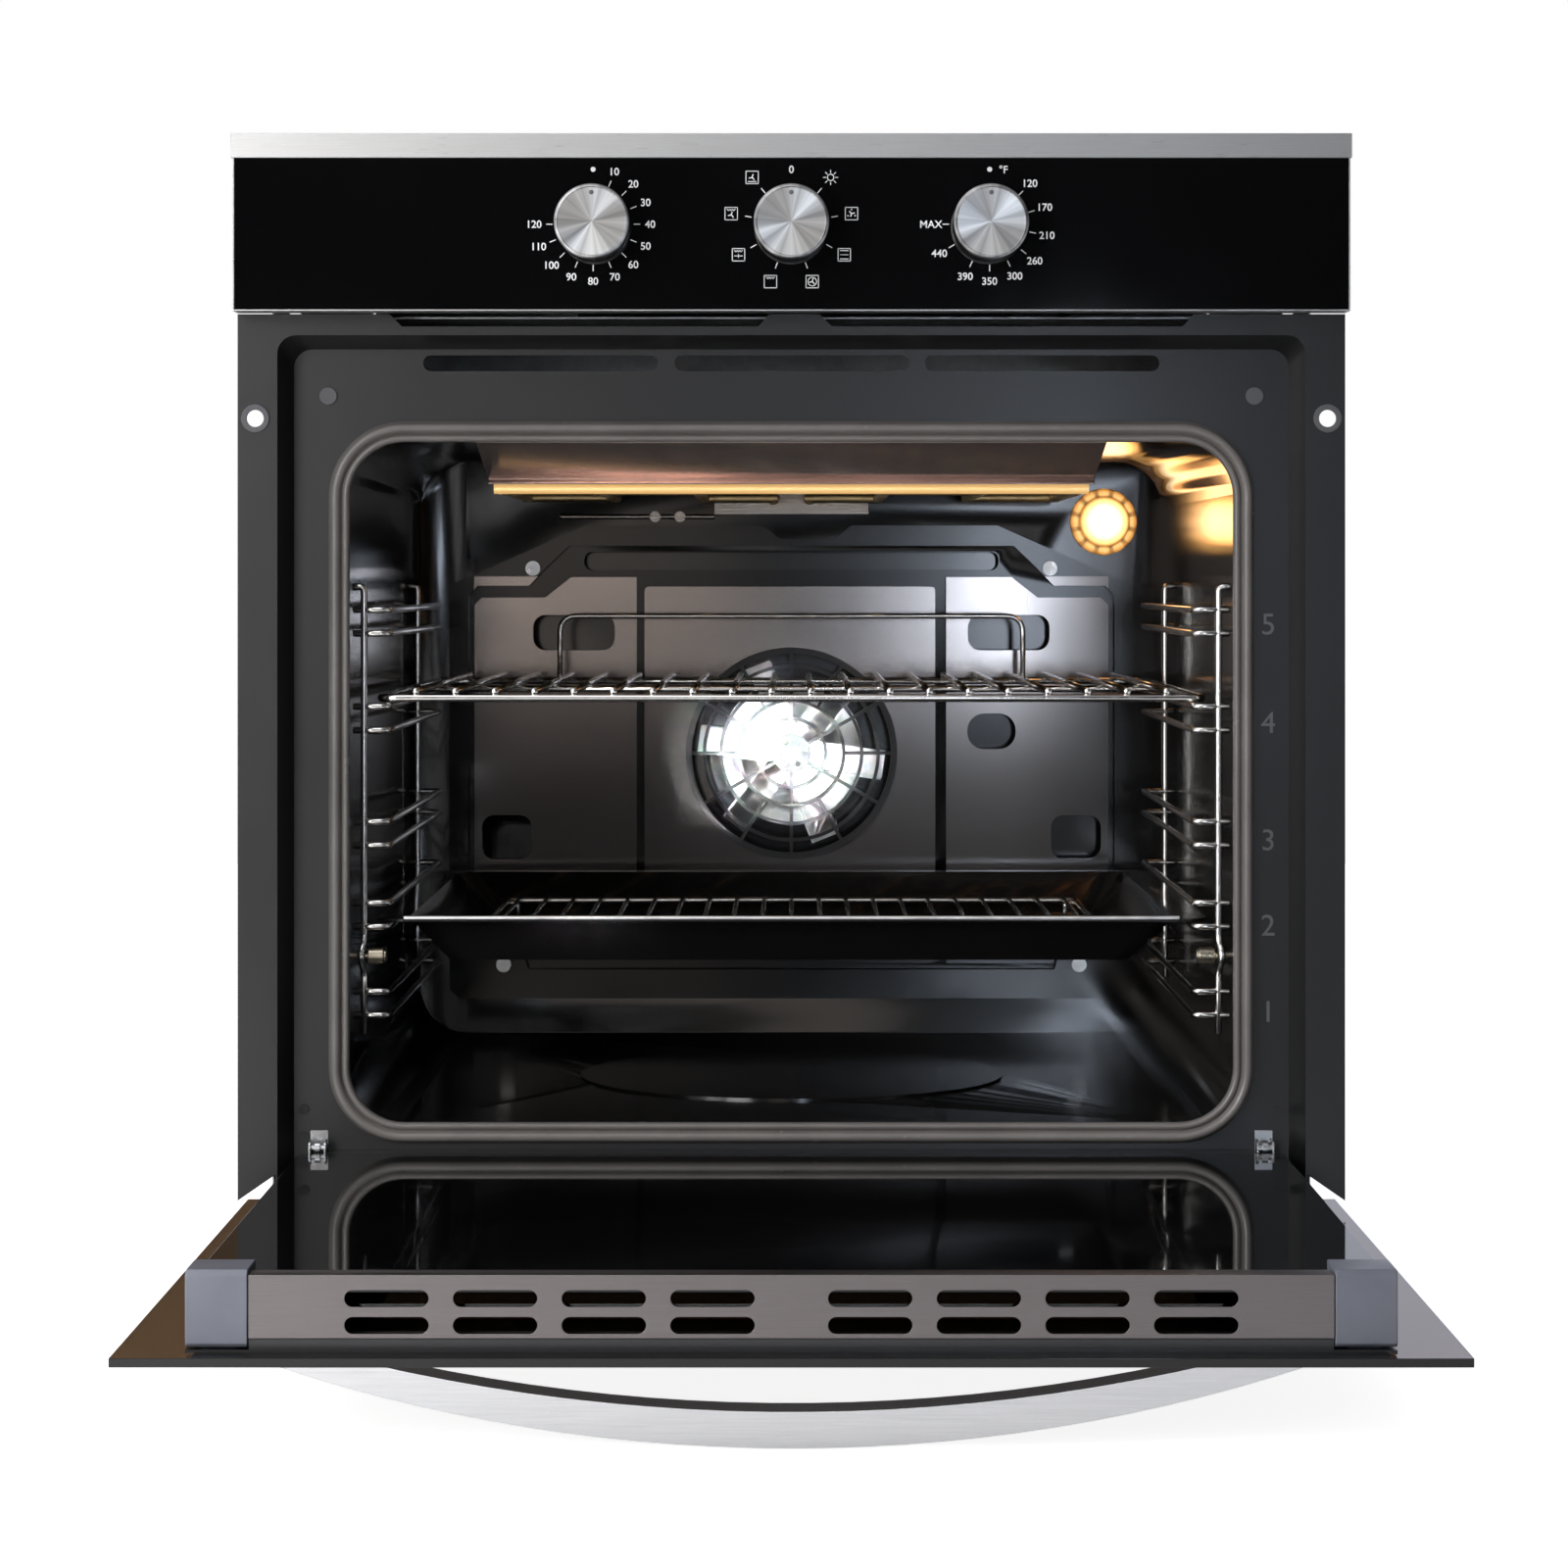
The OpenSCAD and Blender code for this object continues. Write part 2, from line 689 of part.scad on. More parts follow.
module side_panels() {
  half = casing_w / 2;
  color("#a4a6a8") both_sides() difference() {
    block(half, half + sheet_t, fold_gap, casing_d, 1.5, casing_h);
    block(half - 20, half + 5, -2, 58, -1, frame_bottom);
    for (z = [90:60:390]) block(half - 5, half + 5, 440, 500, z, z + 5);
    for (z = [505, 525, 545]) block(half - 5, half + 5, 60, 130, z, z + 5);
  }
}

module top_cover() {
  half = casing_w / 2;
  color("#a4a6a8") difference() {
    block(-half, half, 2, casing_d - 2, casing_h - sheet_t, casing_h);
    for (x = [-150:60:150]) block(x - 22, x + 22, 470, 476, casing_h - 5, casing_h + 5);
    for (x = [-150:60:150]) block(x - 22, x + 22, 486, 492, casing_h - 5, casing_h + 5);
  }
}

module rear_cover() {
  half = casing_w / 2;
  color("#9b9d9e") difference() {
    union() {
      block(-half + 1.5, half - 1.5, casing_d - sheet_t - 1.2, casing_d - 1.2, 26, casing_h - 1.5);
      block(-60, 60, casing_d - 1.5, casing_d + 4, fan_z - 60, fan_z + 60);
    }
    block(-59, 59, casing_d - 5, casing_d + 3, fan_z - 59, fan_z + 59);
    for (z = [-40:16:40]) block(-40, 40, casing_d, casing_d + 6, fan_z + z - 2.5, fan_z + z + 2.5);
    for (x = [-210:42:210]) block(x - 12, x + 12, casing_d - 5, casing_d + 2, 66, 71);
    rod_y(180, casing_d - 5, casing_d + 2, 545, 26);
  }
}

module insulation() {
  color("#d9cfa8") difference() {
    block(-268, 268, cavity_y + 6, 516, 34, 462);
    along_y(cavity_y, back_y + 1.5) cavity_outline(sheet_t + 0.2);
    along_y(back_y, chamber_y + 1.3) dish_outline(2.4);
    block(-168, 168, 76, 560, 46, 63);
    rod_y(0, 450, 560, fan_z, 96);
    rod_y(202.8, back_y, 560, 395, 48);
    block(-100, 20, 450, 560, 392, 416);
    block(0, 30, 450, 560, 400, 420);
    for (side = [-1, 1]) rod_y(side * 10, 450, 560, fan_z + 100, 22);
    for (x = [-199.5, -63.2, 72.5]) block(x - 2, x + 130, cavity_y - 1, cavity_y + 20, 460, 480);
    both_sides() rod_x(240, 252, guide_front, 151.7, 14);
    both_sides() block(248, 264, 10, 96, 26, 76);
  }
}

// Flat duct that leads the cooling air to the slots under the control panel
module air_duct() {
  color("#a9abad") difference() {
    block(-240, 240, cavity_y + 3, 400, 466, 500);
    block(-239, 239, cavity_y + 2, 401, 467, 499);
    block(-130, 130, 330, 401, 490, 501);
  }
}

// ---- Cooling blower ------------------------------------------------------

module blower_housing() {
  color("#a9abad") difference() {
    union() {
      rod_x(-132, 132, blower_y, blower_z, 76);
      block(-132, 132, blower_y - 28, blower_y + 28, 500.3, blower_z);
    }
    rod_x(-131, 131, blower_y, blower_z, 74);
    block(-131, 131, blower_y - 27, blower_y + 27, 490, blower_z);
    block(-120, 120, blower_y - 26, blower_y + 26, blower_z + 20, blower_z + 50);
    rod_x(-140, 140, blower_y, blower_z, 14);
  }
}

module blower_impeller() {
  color("#c7c9ca") {
    for (x = [-124, -42, 40, 122]) rod_x(x - 0.6, x + 0.6, blower_y, blower_z, 58);
    for (a = [0:24:336]) translate([0, blower_y, blower_z]) rotate([a, 0, 0])
      block(-124, 122, 24.6, 28.4, -0.6, 0.6);
    rod_x(-127, 168, blower_y, blower_z, 6);
  }
}

module blower_motor() {
  y = blower_y;
  z = blower_z;
  color("#7d7f82") difference() {
    union() {
      block(137, 141, y - 26, y + 26, z - 26, z + 26);
      block(141, 165, y - 22, y + 22, z - 24, z + 22);
      rod_x(165, 172, y, z, 26);
      block(132, 138, y - 6, y + 6, 500.3, z - 16);
    }
    rod_x(130, 180, y, z, 6 + 2 * run);
    block(140, 166, y - 12, y + 12, z - 20, z - 14);
  }
}

module cable_gland() {
  color("#232325") difference() {
    union() {
      rod_y(180, casing_d - 1.2, casing_d + 3.6, 545, 32);
      rod_y(180, casing_d - 12, casing_d - 1.2, 545, 25.6);
    }
    rod_y(180, casing_d - 20, casing_d + 10, 545, 12);
  }
}

module terminal_box() {
  color("#e3e2dc") difference() {
    block(120, 165, casing_d - 60, casing_d - 20, 520, 556);
    for (z = [527, 538, 549]) rod_y(152, casing_d - 62, casing_d - 30, z, 6);
    for (z = [527, 538, 549]) rod_y(133, casing_d - 62, casing_d - 30, z, 6);
  }
}

// ---- Control panel --------------------------------------------------------

module at_knobs() {
  for (i = [-1:1]) translate([i * knob_spacing, 0, knob_z]) children();
}

module control_panel_glass() {
  half = front_w / 2 - 0.8;
  color("#0b0b0c") difference() {
    block(-half, half, outer_face, outer_face + glass_t, panel_z + 0.8, front_h - strip_h - 0.2);
    at_knobs() rod_y(0, outer_face - 1, outer_face + glass_t + 1, 0, 10);
  }
}

// Steel tray behind the control glass, with the brushed strip above it
module control_panel_frame() {
  half = front_w / 2;
  back = outer_face + glass_t;
  color("#c9c8c6") difference() {
    union() {
      block(-half, half, back, back + 0.8, panel_z, front_h);
      block(-half, half, outer_face + 0.2, 0, panel_z, panel_z + 0.8);
      both_sides() block(half - 0.8, half, outer_face + 0.2, 0, panel_z, front_h);
      block(-half - 0.8, half + 0.8, outer_face - 0.5, back, front_h - strip_h, front_h);
      block(-half - 0.8, half + 0.8, back, 0, front_h - 0.8, front_h);
    }
    block(-half + 0.4, half - 0.4, outer_face + 0.5, back - 0.5, front_h - strip_h - 1, front_h - 1);
    at_knobs() rod_y(0, back - 1, back + 2, 0, 12);
  }
}

module control_bracket() {
  half = casing_w / 2 - 0.4;
  color("#a9abad") difference() {
    union() {
      block(-half, half, 0, sheet_t, panel_z + 1, casing_h - 1.4);
      both_sides() block(half - sheet_t, half, 0, 40, panel_z + 1, casing_h - 1.4);
    }
    at_knobs() block(-26, 26, -1, 3, -27, 27);
    for (x = [-230, -190, 190, 230]) block(x - 14, x + 14, -1, 3, 510, 516);
  }
}

// The front boss and bore that every control unit has
module unit_front() {
  rod_y(0, outer_face + glass_t + 0.8, outer_face + glass_t + 6, 0, 18);
}

module unit_bore() {
  rod_y(0, outer_face, 12, 0, 6 + 2 * run);
}

module timer_unit() {
  color("#d8d4c8") translate([-knob_spacing, 0, knob_z]) difference() {
    union() {
      unit_front();
      rod_y(0, outer_face + glass_t + 6, 26, 0, 44);
      block(-24, 24, outer_face + glass_t + 3, outer_face + glass_t + 6, -8, 8);
    }
    unit_bore();
    for (x = [-8, 8]) block(x - 3, x + 3, 22, 27, -0.5, 0.5);
  }
}

module selector_switch() {
  color("#2f2f33") translate([0, 0, knob_z]) difference() {
    union() {
      unit_front();
      block(-21, 21, outer_face + glass_t + 6, 34, -21, 21);
      for (y = [-4:10:26]) both_sides() block(21, 25, y, y + 1, -16, 16);
    }
    unit_bore();
  }
}

module thermostat_unit() {
  color("#b9bbbd") translate([knob_spacing, 0, knob_z]) difference() {
    union() {
      unit_front();
      block(-19, 19, outer_face + glass_t + 6, 16, -23, 23);
      rod_y(0, 16, 24, 0, 30);
      rod_y(0, 24, 30, 0, 5);
    }
    unit_bore();
  }
}

// A knob with its shaft, drawn about its own axis
module knob() {
  r = knob_d / 2;
  translate([0, outer_face - gap, 0]) rotate([90, 0, 0]) {
    rotate_extrude() polygon([[0, 0], [r - 1, 0], [r, 1], [r, knob_out - 2], [r - 1.2, knob_out - gap], [0, knob_out - gap]]);
    translate([0, 0, -27]) cylinder(h = 28, d = 6);
  }
}

module timer_knob() {
  color("#c4c4c2") translate([-knob_spacing, 0, knob_z]) knob();
}

module function_knob() {
  color("#c4c4c2") translate([0, 0, knob_z]) knob();
}

module thermostat_knob() {
  color("#c4c4c2") translate([knob_spacing, 0, knob_z]) knob();
}

// ---- Door, drawn closed and then turned open ---------------------------

module door_outer_glass() {
  color("#26221f") open_door() difference() {
    block(-front_w / 2, front_w / 2, outer_face, outer_face + glass_t, door_z, door_top);
    both_sides() rod_y(226, outer_face - 1, outer_face + glass_t + 1, door_top - 45, 6);
  }
}

module door_middle_glass() {
  color("#33363a") open_door() block(-246, 246, -4, -1, 60, 448);
}

module door_inner_glass() {
  half = body_w / 2 - 0.6;
  color("#0e0e10") open_door()
    along_y(inner_face - glass_t, inner_face)
      polygon([[-half, inner_z], [half, inner_z], [half, 449.5], [238.3, 449.5], [238.3, body_top - 1.3],
               [-238.3, body_top - 1.3], [-238.3, 449.5], [-half, 449.5]]);
}

// Sheet-metal frame that holds the three panes
module door_frame() {
  half = body_w / 2;
  front = outer_face + glass_t;
  seat = inner_face - glass_t;
  color("#202022") open_door() difference() {
    union() {
      block(-half, half, front, front + 1, body_z, body_top - 1);
      block(-238.3, 238.3, front, front + 5.8, 466, body_top - 1);
      both_sides() {
        block(half - 1, half, front, seat, body_z, 449.5);
        block(half - 4.4, half, seat - 1, seat, body_z, 449.5);
        for (y = [-5, -1]) block(246.6, 250, y, y + 1, 60, 448);
        block(249, 250, front, inner_face - glass_t, 57, 448);
      }
      block(-250.5, 250.5, front, inner_face, body_z, body_z + 1);
      block(-250.5, 250.5, inner_face - 1, inner_face, body_z, inner_z - 0.4);
    }
    block(-236, 236, front - 1, front + 3, 57, 466);
    both_sides() rod_y(226, front - 1, front + 8, door_top - 45, 12);
  }
}

module door_top_trim() {
  y0 = outer_face + 10.3;
  y1 = outer_face + 38.1;
  color("#8d8785") open_door() difference() {
    union() {
      block(-238.3, 238.3, y0, y1, body_top - 1, body_top);
      block(-238.3, 238.3, y0, y0 + 1, 467, body_top);
      block(-238.3, 238.3, inner_face + 0.2, inner_face + 1.2, 466, body_top);
      block(-238.3, 238.3, y1 - 1, y1, 466, body_top);
      block(-238.3, 238.3, inner_face + 0.2, y1, 466, 467);
    }
    for (x = [34.6, 82.3, 130, 177.7], side = [-1, 1], y = [outer_face + 15.9, outer_face + 27.7]) {
      block(side * x - 14.8, side * x + 14.8, y - 3.7, y + 3.7, body_top - 3, body_top + 1);
      for (end = [-14.8, 14.8]) rod_z(side * x + end, y, body_top - 3, body_top + 1, 7.4);
    }
  }
}

module door_end_caps() {
  x0 = 238.8;
  x1 = body_w / 2;
  y0 = outer_face + 6.2;
  y1 = outer_face + 40.2;
  color("#6f727b") open_door() both_sides() {
    along_x(x0, x1) polygon([[y0, 450], [y1, 450], [y1, body_top - 2.4], [y1 - 2.4, body_top],
                             [y0 + 1.5, body_top], [y0, body_top - 1.5]]);
    block(x0 + 6, x1 - 6, outer_face + glass_t + 1, y0, 456, 474);
  }
}

// The bowed handle: the space between two large arcs
module door_handle() {
  z0 = door_top - 55;
  outer_r = (pow(handle_half, 2) + pow(handle_out, 2)) / (2 * handle_out);
  inner_half = handle_half - 40.6;
  inner_out = handle_out - 16.5;
  inner_r = (pow(inner_half, 2) + pow(inner_out, 2)) / (2 * inner_out);
  color("#c9cacb") open_door() difference() {
    translate([0, 0, z0]) linear_extrude(20) difference() {
      intersection() {
        translate([0, outer_face - handle_out + outer_r]) circle(outer_r, $fn = 480);
        translate([-front_w / 2, outer_face - 60]) square([front_w, 60]);
      }
      translate([0, outer_face - inner_out + inner_r]) circle(inner_r, $fn = 480);
    }
    both_sides() rod_y(226, outer_face - 5, outer_face + 1, door_top - 45, 5);
  }
}

module handle_screws() {
  color("#b9b9b7") open_door() both_sides() {
    rod_y(226, outer_face - 4.8, outer_face + glass_t, door_top - 45, 5);
    rod_y(226, outer_face + glass_t, outer_face + glass_t + 3, door_top - 45, 10);
  }
}

// ---- Hinges -------------------------------------------------------------------

module hinge_bodies() {
  front = outer_face + glass_t + 1;
  color("#9d9fa1") open_door() both_sides() difference() {
    union() {
      block(hinge_x - 4.7, hinge_x + 4.7, front, front + 1, 46.5, 250);
      for (x = [hinge_x - 4.7, hinge_x + 3.7]) {
        block(x, x + 1, front, 8.4, 46.5, 250);
        block(x, x + 1, 8, hinge_y, hinge_z - 5.2, hinge_z + 5.2);
        rod_x(x, x + 1, hinge_y, hinge_z, 10.4);
      }
      block(hinge_x - 4.7, hinge_x + 4.7, -7.5, 1.5, 140, 143);
    }
    rod_x(hinge_x - 6, hinge_x + 6, hinge_y, hinge_z, pin_d);
    rod_z(hinge_x, -3, 138, 145, 5 + 2 * run);
  }
}

module hinge_pins() {
  color("#b4b6b8") open_door() both_sides() rod_x(hinge_x - 4.7, hinge_x + 4.7, hinge_y, hinge_z, pin_d);
}

module hinge_rods() {
  color("#a5a7a9") open_door() both_sides() {
    rod_z(hinge_x, -3, 64, 230, 5);
    rod_z(hinge_x, -3, 226, 231, 7);
  }
}

module hinge_springs() {
  color("#77797b") open_door() both_sides() difference() {
    rod_z(hinge_x, -3, 143.2, 225.7, 7);
    rod_z(hinge_x, -3, 140, 230, 5.4);
  }
}

// Arms that stay hooked in the casing while the door turns about them
module hinge_arms() {
  color("#a5a7a9") both_sides() difference() {
    union() {
      rod_x(hinge_x - 1.5, hinge_x + 1.5, hinge_y, hinge_z, 9);
      along_x(hinge_x - 1.5, hinge_x + 1.5)
        polygon([[hinge_y, 46], [24, 40.2], [50, 40.2], [50, 37], [60, 37], [62, 40], [62, 47], [34, 50], [hinge_y, 50]]);
    }
    rod_x(hinge_x - 3, hinge_x + 3, hinge_y, hinge_z, pin_d + 2 * run);
  }
}

module hinge_receivers() {
  color("#c7c8c8") both_sides() {
    difference() {
      block(hinge_x - 4.75, hinge_x + 4.75, recess_y - 0.6, recess_y, 33, 59);
      block(hinge_x - 2.85, hinge_x + 2.85, recess_y - 1, recess_y + 1, 36, 50.5);
    }
    for (x = [hinge_x - 4.5, hinge_x + 3.5]) block(x, x + 1, cavity_y, 90, 30, 62);
    block(hinge_x - 4.5, hinge_x + 4.5, 89, 90, 30, 62);
    rod_x(hinge_x - 4, hinge_x + 4, 44, 37.7, 5);
  }
}

front_frame();
front_bushes();
frame_plugs();
door_buffers();
door_gasket();
cavity_liner();
fan_cover();
fan_guard();
fan_cover_screws();
ring_element();
fan_motor();
grill_element();
grill_bracket();
grill_deflector();
bottom_element();
lamp_holder();
lamp_bulb();
lamp_cover();
thermostat_probe();
side_rack_left();
side_rack_right();
side_rack_nuts();
base_plate();
side_panels();
top_cover();
rear_cover();
insulation();
air_duct();
blower_housing();
blower_motor();
cable_gland();
terminal_box();
control_panel_glass();
control_panel_frame();
control_bracket();
timer_unit();
selector_switch();
thermostat_unit();
timer_knob();
function_knob();
thermostat_knob();
convection_fan();
blower_impeller();
upper_rack();
baking_tray();
tray_insert();
door_outer_glass();
door_middle_glass();
door_inner_glass();
door_top_trim();
door_end_caps();
door_frame();
door_handle();
handle_screws();
hinge_bodies();
hinge_pins();
hinge_arms();
hinge_receivers();
hinge_rods();
hinge_springs();
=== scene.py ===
import json
import math

import bmesh
import bpy
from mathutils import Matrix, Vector


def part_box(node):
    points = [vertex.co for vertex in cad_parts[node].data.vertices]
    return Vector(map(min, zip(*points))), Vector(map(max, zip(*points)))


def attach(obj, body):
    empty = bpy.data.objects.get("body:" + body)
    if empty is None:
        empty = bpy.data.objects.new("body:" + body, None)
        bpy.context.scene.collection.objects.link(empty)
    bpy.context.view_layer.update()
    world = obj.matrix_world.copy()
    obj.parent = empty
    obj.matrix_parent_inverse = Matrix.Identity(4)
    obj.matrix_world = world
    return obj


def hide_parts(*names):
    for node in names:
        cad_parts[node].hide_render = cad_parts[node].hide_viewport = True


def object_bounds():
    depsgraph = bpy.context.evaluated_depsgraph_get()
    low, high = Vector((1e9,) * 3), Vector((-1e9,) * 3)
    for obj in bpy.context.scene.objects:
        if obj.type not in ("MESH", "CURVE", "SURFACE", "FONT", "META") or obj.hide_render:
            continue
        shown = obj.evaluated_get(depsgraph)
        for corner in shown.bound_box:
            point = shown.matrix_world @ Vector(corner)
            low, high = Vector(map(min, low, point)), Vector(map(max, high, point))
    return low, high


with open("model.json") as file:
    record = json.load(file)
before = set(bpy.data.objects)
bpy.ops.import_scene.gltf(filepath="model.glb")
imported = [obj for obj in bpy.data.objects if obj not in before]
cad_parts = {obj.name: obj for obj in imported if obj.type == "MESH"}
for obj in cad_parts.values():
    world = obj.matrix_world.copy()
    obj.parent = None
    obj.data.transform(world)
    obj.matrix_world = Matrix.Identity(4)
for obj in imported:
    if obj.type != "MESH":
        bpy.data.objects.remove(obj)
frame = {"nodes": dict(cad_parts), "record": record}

cad_box = [list(corner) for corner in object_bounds()]
record = frame["record"]
NODES = frame["nodes"]
SLOT_OF = {row["node"]: row["material_slot"] for row in record["subparts"]}
BODY_OF = {node: body for body, members in record["behaviour"]["bodies"].items() for node in members}
MM = 0.001

# Places that several pieces share, in millimetres
KNOB_Z = 546.6
KNOB_X = 105.5
LAMP = (202.8, 395)
RECESS_FACE = 21.0
PRINT_LIFT = 0.03


# ---- Places, in metres, read from the frame --------------------------------

def low(node):
    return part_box(node)[0]


def high(node):
    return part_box(node)[1]


def middle(node):
    return (low(node) + high(node)) / 2


# ---- Materials ----------------------------------------------------------------

class Shader:
    """A Principled material whose colour, roughness and bump come from procedural textures."""

    def __init__(self, name, color, rough, metallic=0.0, **sockets):
        self.material = bpy.data.materials.new(name)
        self.material.use_nodes = True
        self.tree = self.material.node_tree
        self.bsdf = self.tree.nodes["Principled BSDF"]
        self.color = color
        self.rough = rough
        self.coords = self.node("ShaderNodeTexCoord").outputs["Object"]
        self.set("Base Color", (*color, 1))
        self.set("Roughness", rough)
        self.set("Metallic", metallic)
        for socket, value in sockets.items():
            self.set(socket.replace("_", " "), value)

    def node(self, kind, **values):
        made = self.tree.nodes.new(kind)
        for key, value in values.items():
            setattr(made, key, value)
        return made

    def set(self, socket, value):
        self.bsdf.inputs[socket].default_value = value

    def link(self, source, target):
        self.tree.links.new(source, target)

    def noise(self, scale, detail=4.0, stretch=(1, 1, 1), rough=0.55, warp=0.0):
        mapping = self.node("ShaderNodeMapping")
        mapping.inputs["Scale"].default_value = stretch
        texture = self.node("ShaderNodeTexNoise")
        texture.inputs["Scale"].default_value = scale
        texture.inputs["Detail"].default_value = detail
        texture.inputs["Roughness"].default_value = rough
        texture.inputs["Distortion"].default_value = warp
        self.link(self.coords, mapping.inputs["Vector"])
        self.link(mapping.outputs["Vector"], texture.inputs["Vector"])
        return texture.outputs["Fac"]

    def ramp(self, factor, low_value, high_value, start=0.3, end=0.7):
        ranged = self.node("ShaderNodeMapRange")
        ranged.inputs["From Min"].default_value = start
        ranged.inputs["From Max"].default_value = end
        ranged.inputs["To Min"].default_value = low_value
        ranged.inputs["To Max"].default_value = high_value
        self.link(factor, ranged.inputs["Value"])
        return ranged.outputs["Result"]

    def split(self):
        """The X, Y and Z of a point in the piece's own space."""
        parts = self.node("ShaderNodeSeparateXYZ")
        self.link(self.coords, parts.inputs["Vector"])
        return parts.outputs

    def calc(self, operation, *values):
        node = self.node("ShaderNodeMath", operation=operation)
        for index, value in enumerate(values):
            self.link(value, node.inputs[index])
        return node.outputs[0]

    def mix_color(self, factor, one, other):
        mixed = self.node("ShaderNodeMix", data_type="RGBA")
        mixed.inputs["A"].default_value = (*one, 1)
        mixed.inputs["B"].default_value = (*other, 1)
        self.link(factor, mixed.inputs["Factor"])
        self.link(mixed.outputs["Result"], self.bsdf.inputs["Base Color"])

    def vary_color(self, factor, other):
        self.mix_color(self.ramp(factor, 0.0, 1.0), self.color, other)
        return self

    def vary_rough(self, factor, spread):
        value = self.ramp(factor, max(0.02, self.rough - spread), self.rough + spread)
        self.link(value, self.bsdf.inputs["Roughness"])
        return self

    def bump(self, factor, distance, strength=1.0):
        node = self.node("ShaderNodeBump")
        node.inputs["Distance"].default_value = distance
        node.inputs["Strength"].default_value = strength
        self.link(factor, node.inputs["Height"])
        self.link(node.outputs["Normal"], self.bsdf.inputs["Normal"])
        return self


def enamel(name, color, rough, coat=0.5, metallic=0.0):
    """Vitreous enamel: a hard glossy coat with a faint orange-peel surface."""
    shade = Shader(name, color, rough, metallic, Coat_Weight=coat, Coat_Roughness=rough * 0.5, IOR=1.52)
    cloud = shade.noise(9, 3)
    shade.vary_color(cloud, tuple(c * 1.15 + 0.0008 for c in color))
    shade.vary_rough(shade.noise(30, 5), rough * 0.06)
    return shade.bump(shade.noise(260, 2), 0.000008, 0.3).material


def pressed_cover(name, color, rough):
    """Black enamel with a painted bronze sheen on the raised panels. The recess round them is painted black as
    shade, and the sheen fades towards the bottom and the right as painted shade.
    """
    shade = Shader(name, color, rough, 0.0, Coat_Weight=0.1, Coat_Roughness=0.08, IOR=1.45)
    place = shade.split()
    painted_sheen = None
    # mask of painted sheen: the raised panel faces, with painted shade towards the bottom and the right
    for source, start, end in (
        (shade.calc("ABSOLUTE", place["X"]), 0.2066, 0.2058),  # the panels' outer sides
        (place["Z"], 0.1265, 0.1275),  # their lower edge
        (place["Z"], 0.3600, 0.3592),  # their upper edge
        (place["Y"], 0.4800, 0.4792),  # only what is raised; the recess stays black as painted shade
        (place["Z"], 0.1000, 0.3100),  # painted shade towards the bottom
        (place["X"], 0.2400, 0.1400),  # painted shade towards the right
    ):
        part = shade.ramp(source, 0.0, 1.0, start, end)
        painted_sheen = part if painted_sheen is None else shade.calc("MULTIPLY", painted_sheen, part)
    # black wherever there is no painted sheen, which paints the recess and grooves as shade
    shade.mix_color(painted_sheen, (0.0045, 0.0042, 0.0040), color)
    shade.link(shade.ramp(painted_sheen, 0.0, 0.85, 0, 1), shade.bsdf.inputs["Metallic"])
    shade.vary_rough(shade.noise(30, 5), rough * 0.06)
    return shade.bump(shade.noise(260, 2), 0.000003, 0.3).material


def brushed(name, color, rough, direction=(1, 60, 60), anisotropic=0.55, depth=0.00002):
    """Brushed steel, with long fine lines along the first axis of its stretch."""
    shade = Shader(name, color, rough, 1.0, Anisotropic=anisotropic)
    lines = shade.noise(28, 8, direction, 0.7)
    shade.vary_color(lines, tuple(c * 0.88 for c in color))
    shade.vary_rough(lines, rough * 0.2)
    return shade.bump(lines, depth, 0.6).material


def plated(name, color, rough, tarnish=0.85, glow=None):
    """Bright plated wire or a small turned part, with a faint tarnish. A glow on its front run only is a painted
    highlight.
    """
    shade = Shader(name, color, rough, 1.0)
    if glow:
        # emission along the front run only: a painted highlight
        painted_highlight_run = shade.ramp(shade.split()["Y"], 0.7, 0.0, 0.168, 0.172)
        shade.link(painted_highlight_run, shade.bsdf.inputs["Emission Strength"])
        shade.set("Emission Color", (*glow, 1))
    shade.vary_color(shade.noise(60, 4), tuple(c * tarnish for c in color))
    shade.vary_rough(shade.noise(130, 3), rough * 0.2)
    return shade.bump(shade.noise(900, 2), 0.000004, 0.3).material


def galvanised(name, color, rough):
    """Zinc-coated sheet with its crystal pattern."""
    shade = Shader(name, color, rough, 1.0)
    cells = shade.node("ShaderNodeTexVoronoi", feature="F1")
    cells.inputs["Scale"].default_value = 150
    shade.link(shade.coords, cells.inputs["Vector"])
    grey = shade.node("ShaderNodeSeparateColor")
    shade.link(cells.outputs["Color"], grey.inputs["Color"])
    spangle = grey.outputs["Red"]
    shade.mix_color(spangle, color, tuple(c * 0.88 for c in color))
    shade.link(shade.ramp(spangle, rough - 0.04, rough + 0.05, 0, 1), shade.bsdf.inputs["Roughness"])
    return shade.bump(shade.noise(240, 4), 0.00003, 0.4).material


def moulded(name, color, rough, grain=0.00003):
    """Moulded plastic or rubber with a fine grain."""
    shade = Shader(name, color, rough)
    shade.vary_color(shade.noise(25, 4), tuple(c * 1.25 + 0.003 for c in color))
    shade.vary_rough(shade.noise(60, 4), rough * 0.15)
    return shade.bump(shade.noise(1600, 3), grain, 0.6).material


def glass(name, color, rough, transmission):
    """Tinted or black glass with a trace of dust in its gloss."""
    shade = Shader(name, color, rough, IOR=1.5, Transmission_Weight=transmission)
    shade.vary_color(shade.noise(6, 3), tuple(c * 1.15 + 0.0005 for c in color))
    shade.vary_rough(shade.noise(18, 3), rough * 0.3)
    return shade.bump(shade.noise(3, 2), 0.00001, 0.1).material


def edged_glass(name, color, rough, transmission):
    """Tinted glass with its long front edge painted black."""
    shade = Shader(name, color, rough, IOR=1.5)
    clear = shade.ramp(shade.split()["Y"], 0.0, 1.0, -0.4291, -0.4288)
    shade.mix_color(clear, (0.002, 0.002, 0.002), color)
    shade.link(shade.ramp(clear, 0.0, transmission, 0, 1), shade.bsdf.inputs["Transmission Weight"])
    shade.vary_rough(shade.noise(18, 3), rough * 0.3)
    return shade.bump(shade.noise(3, 2), 0.00001, 0.1).material


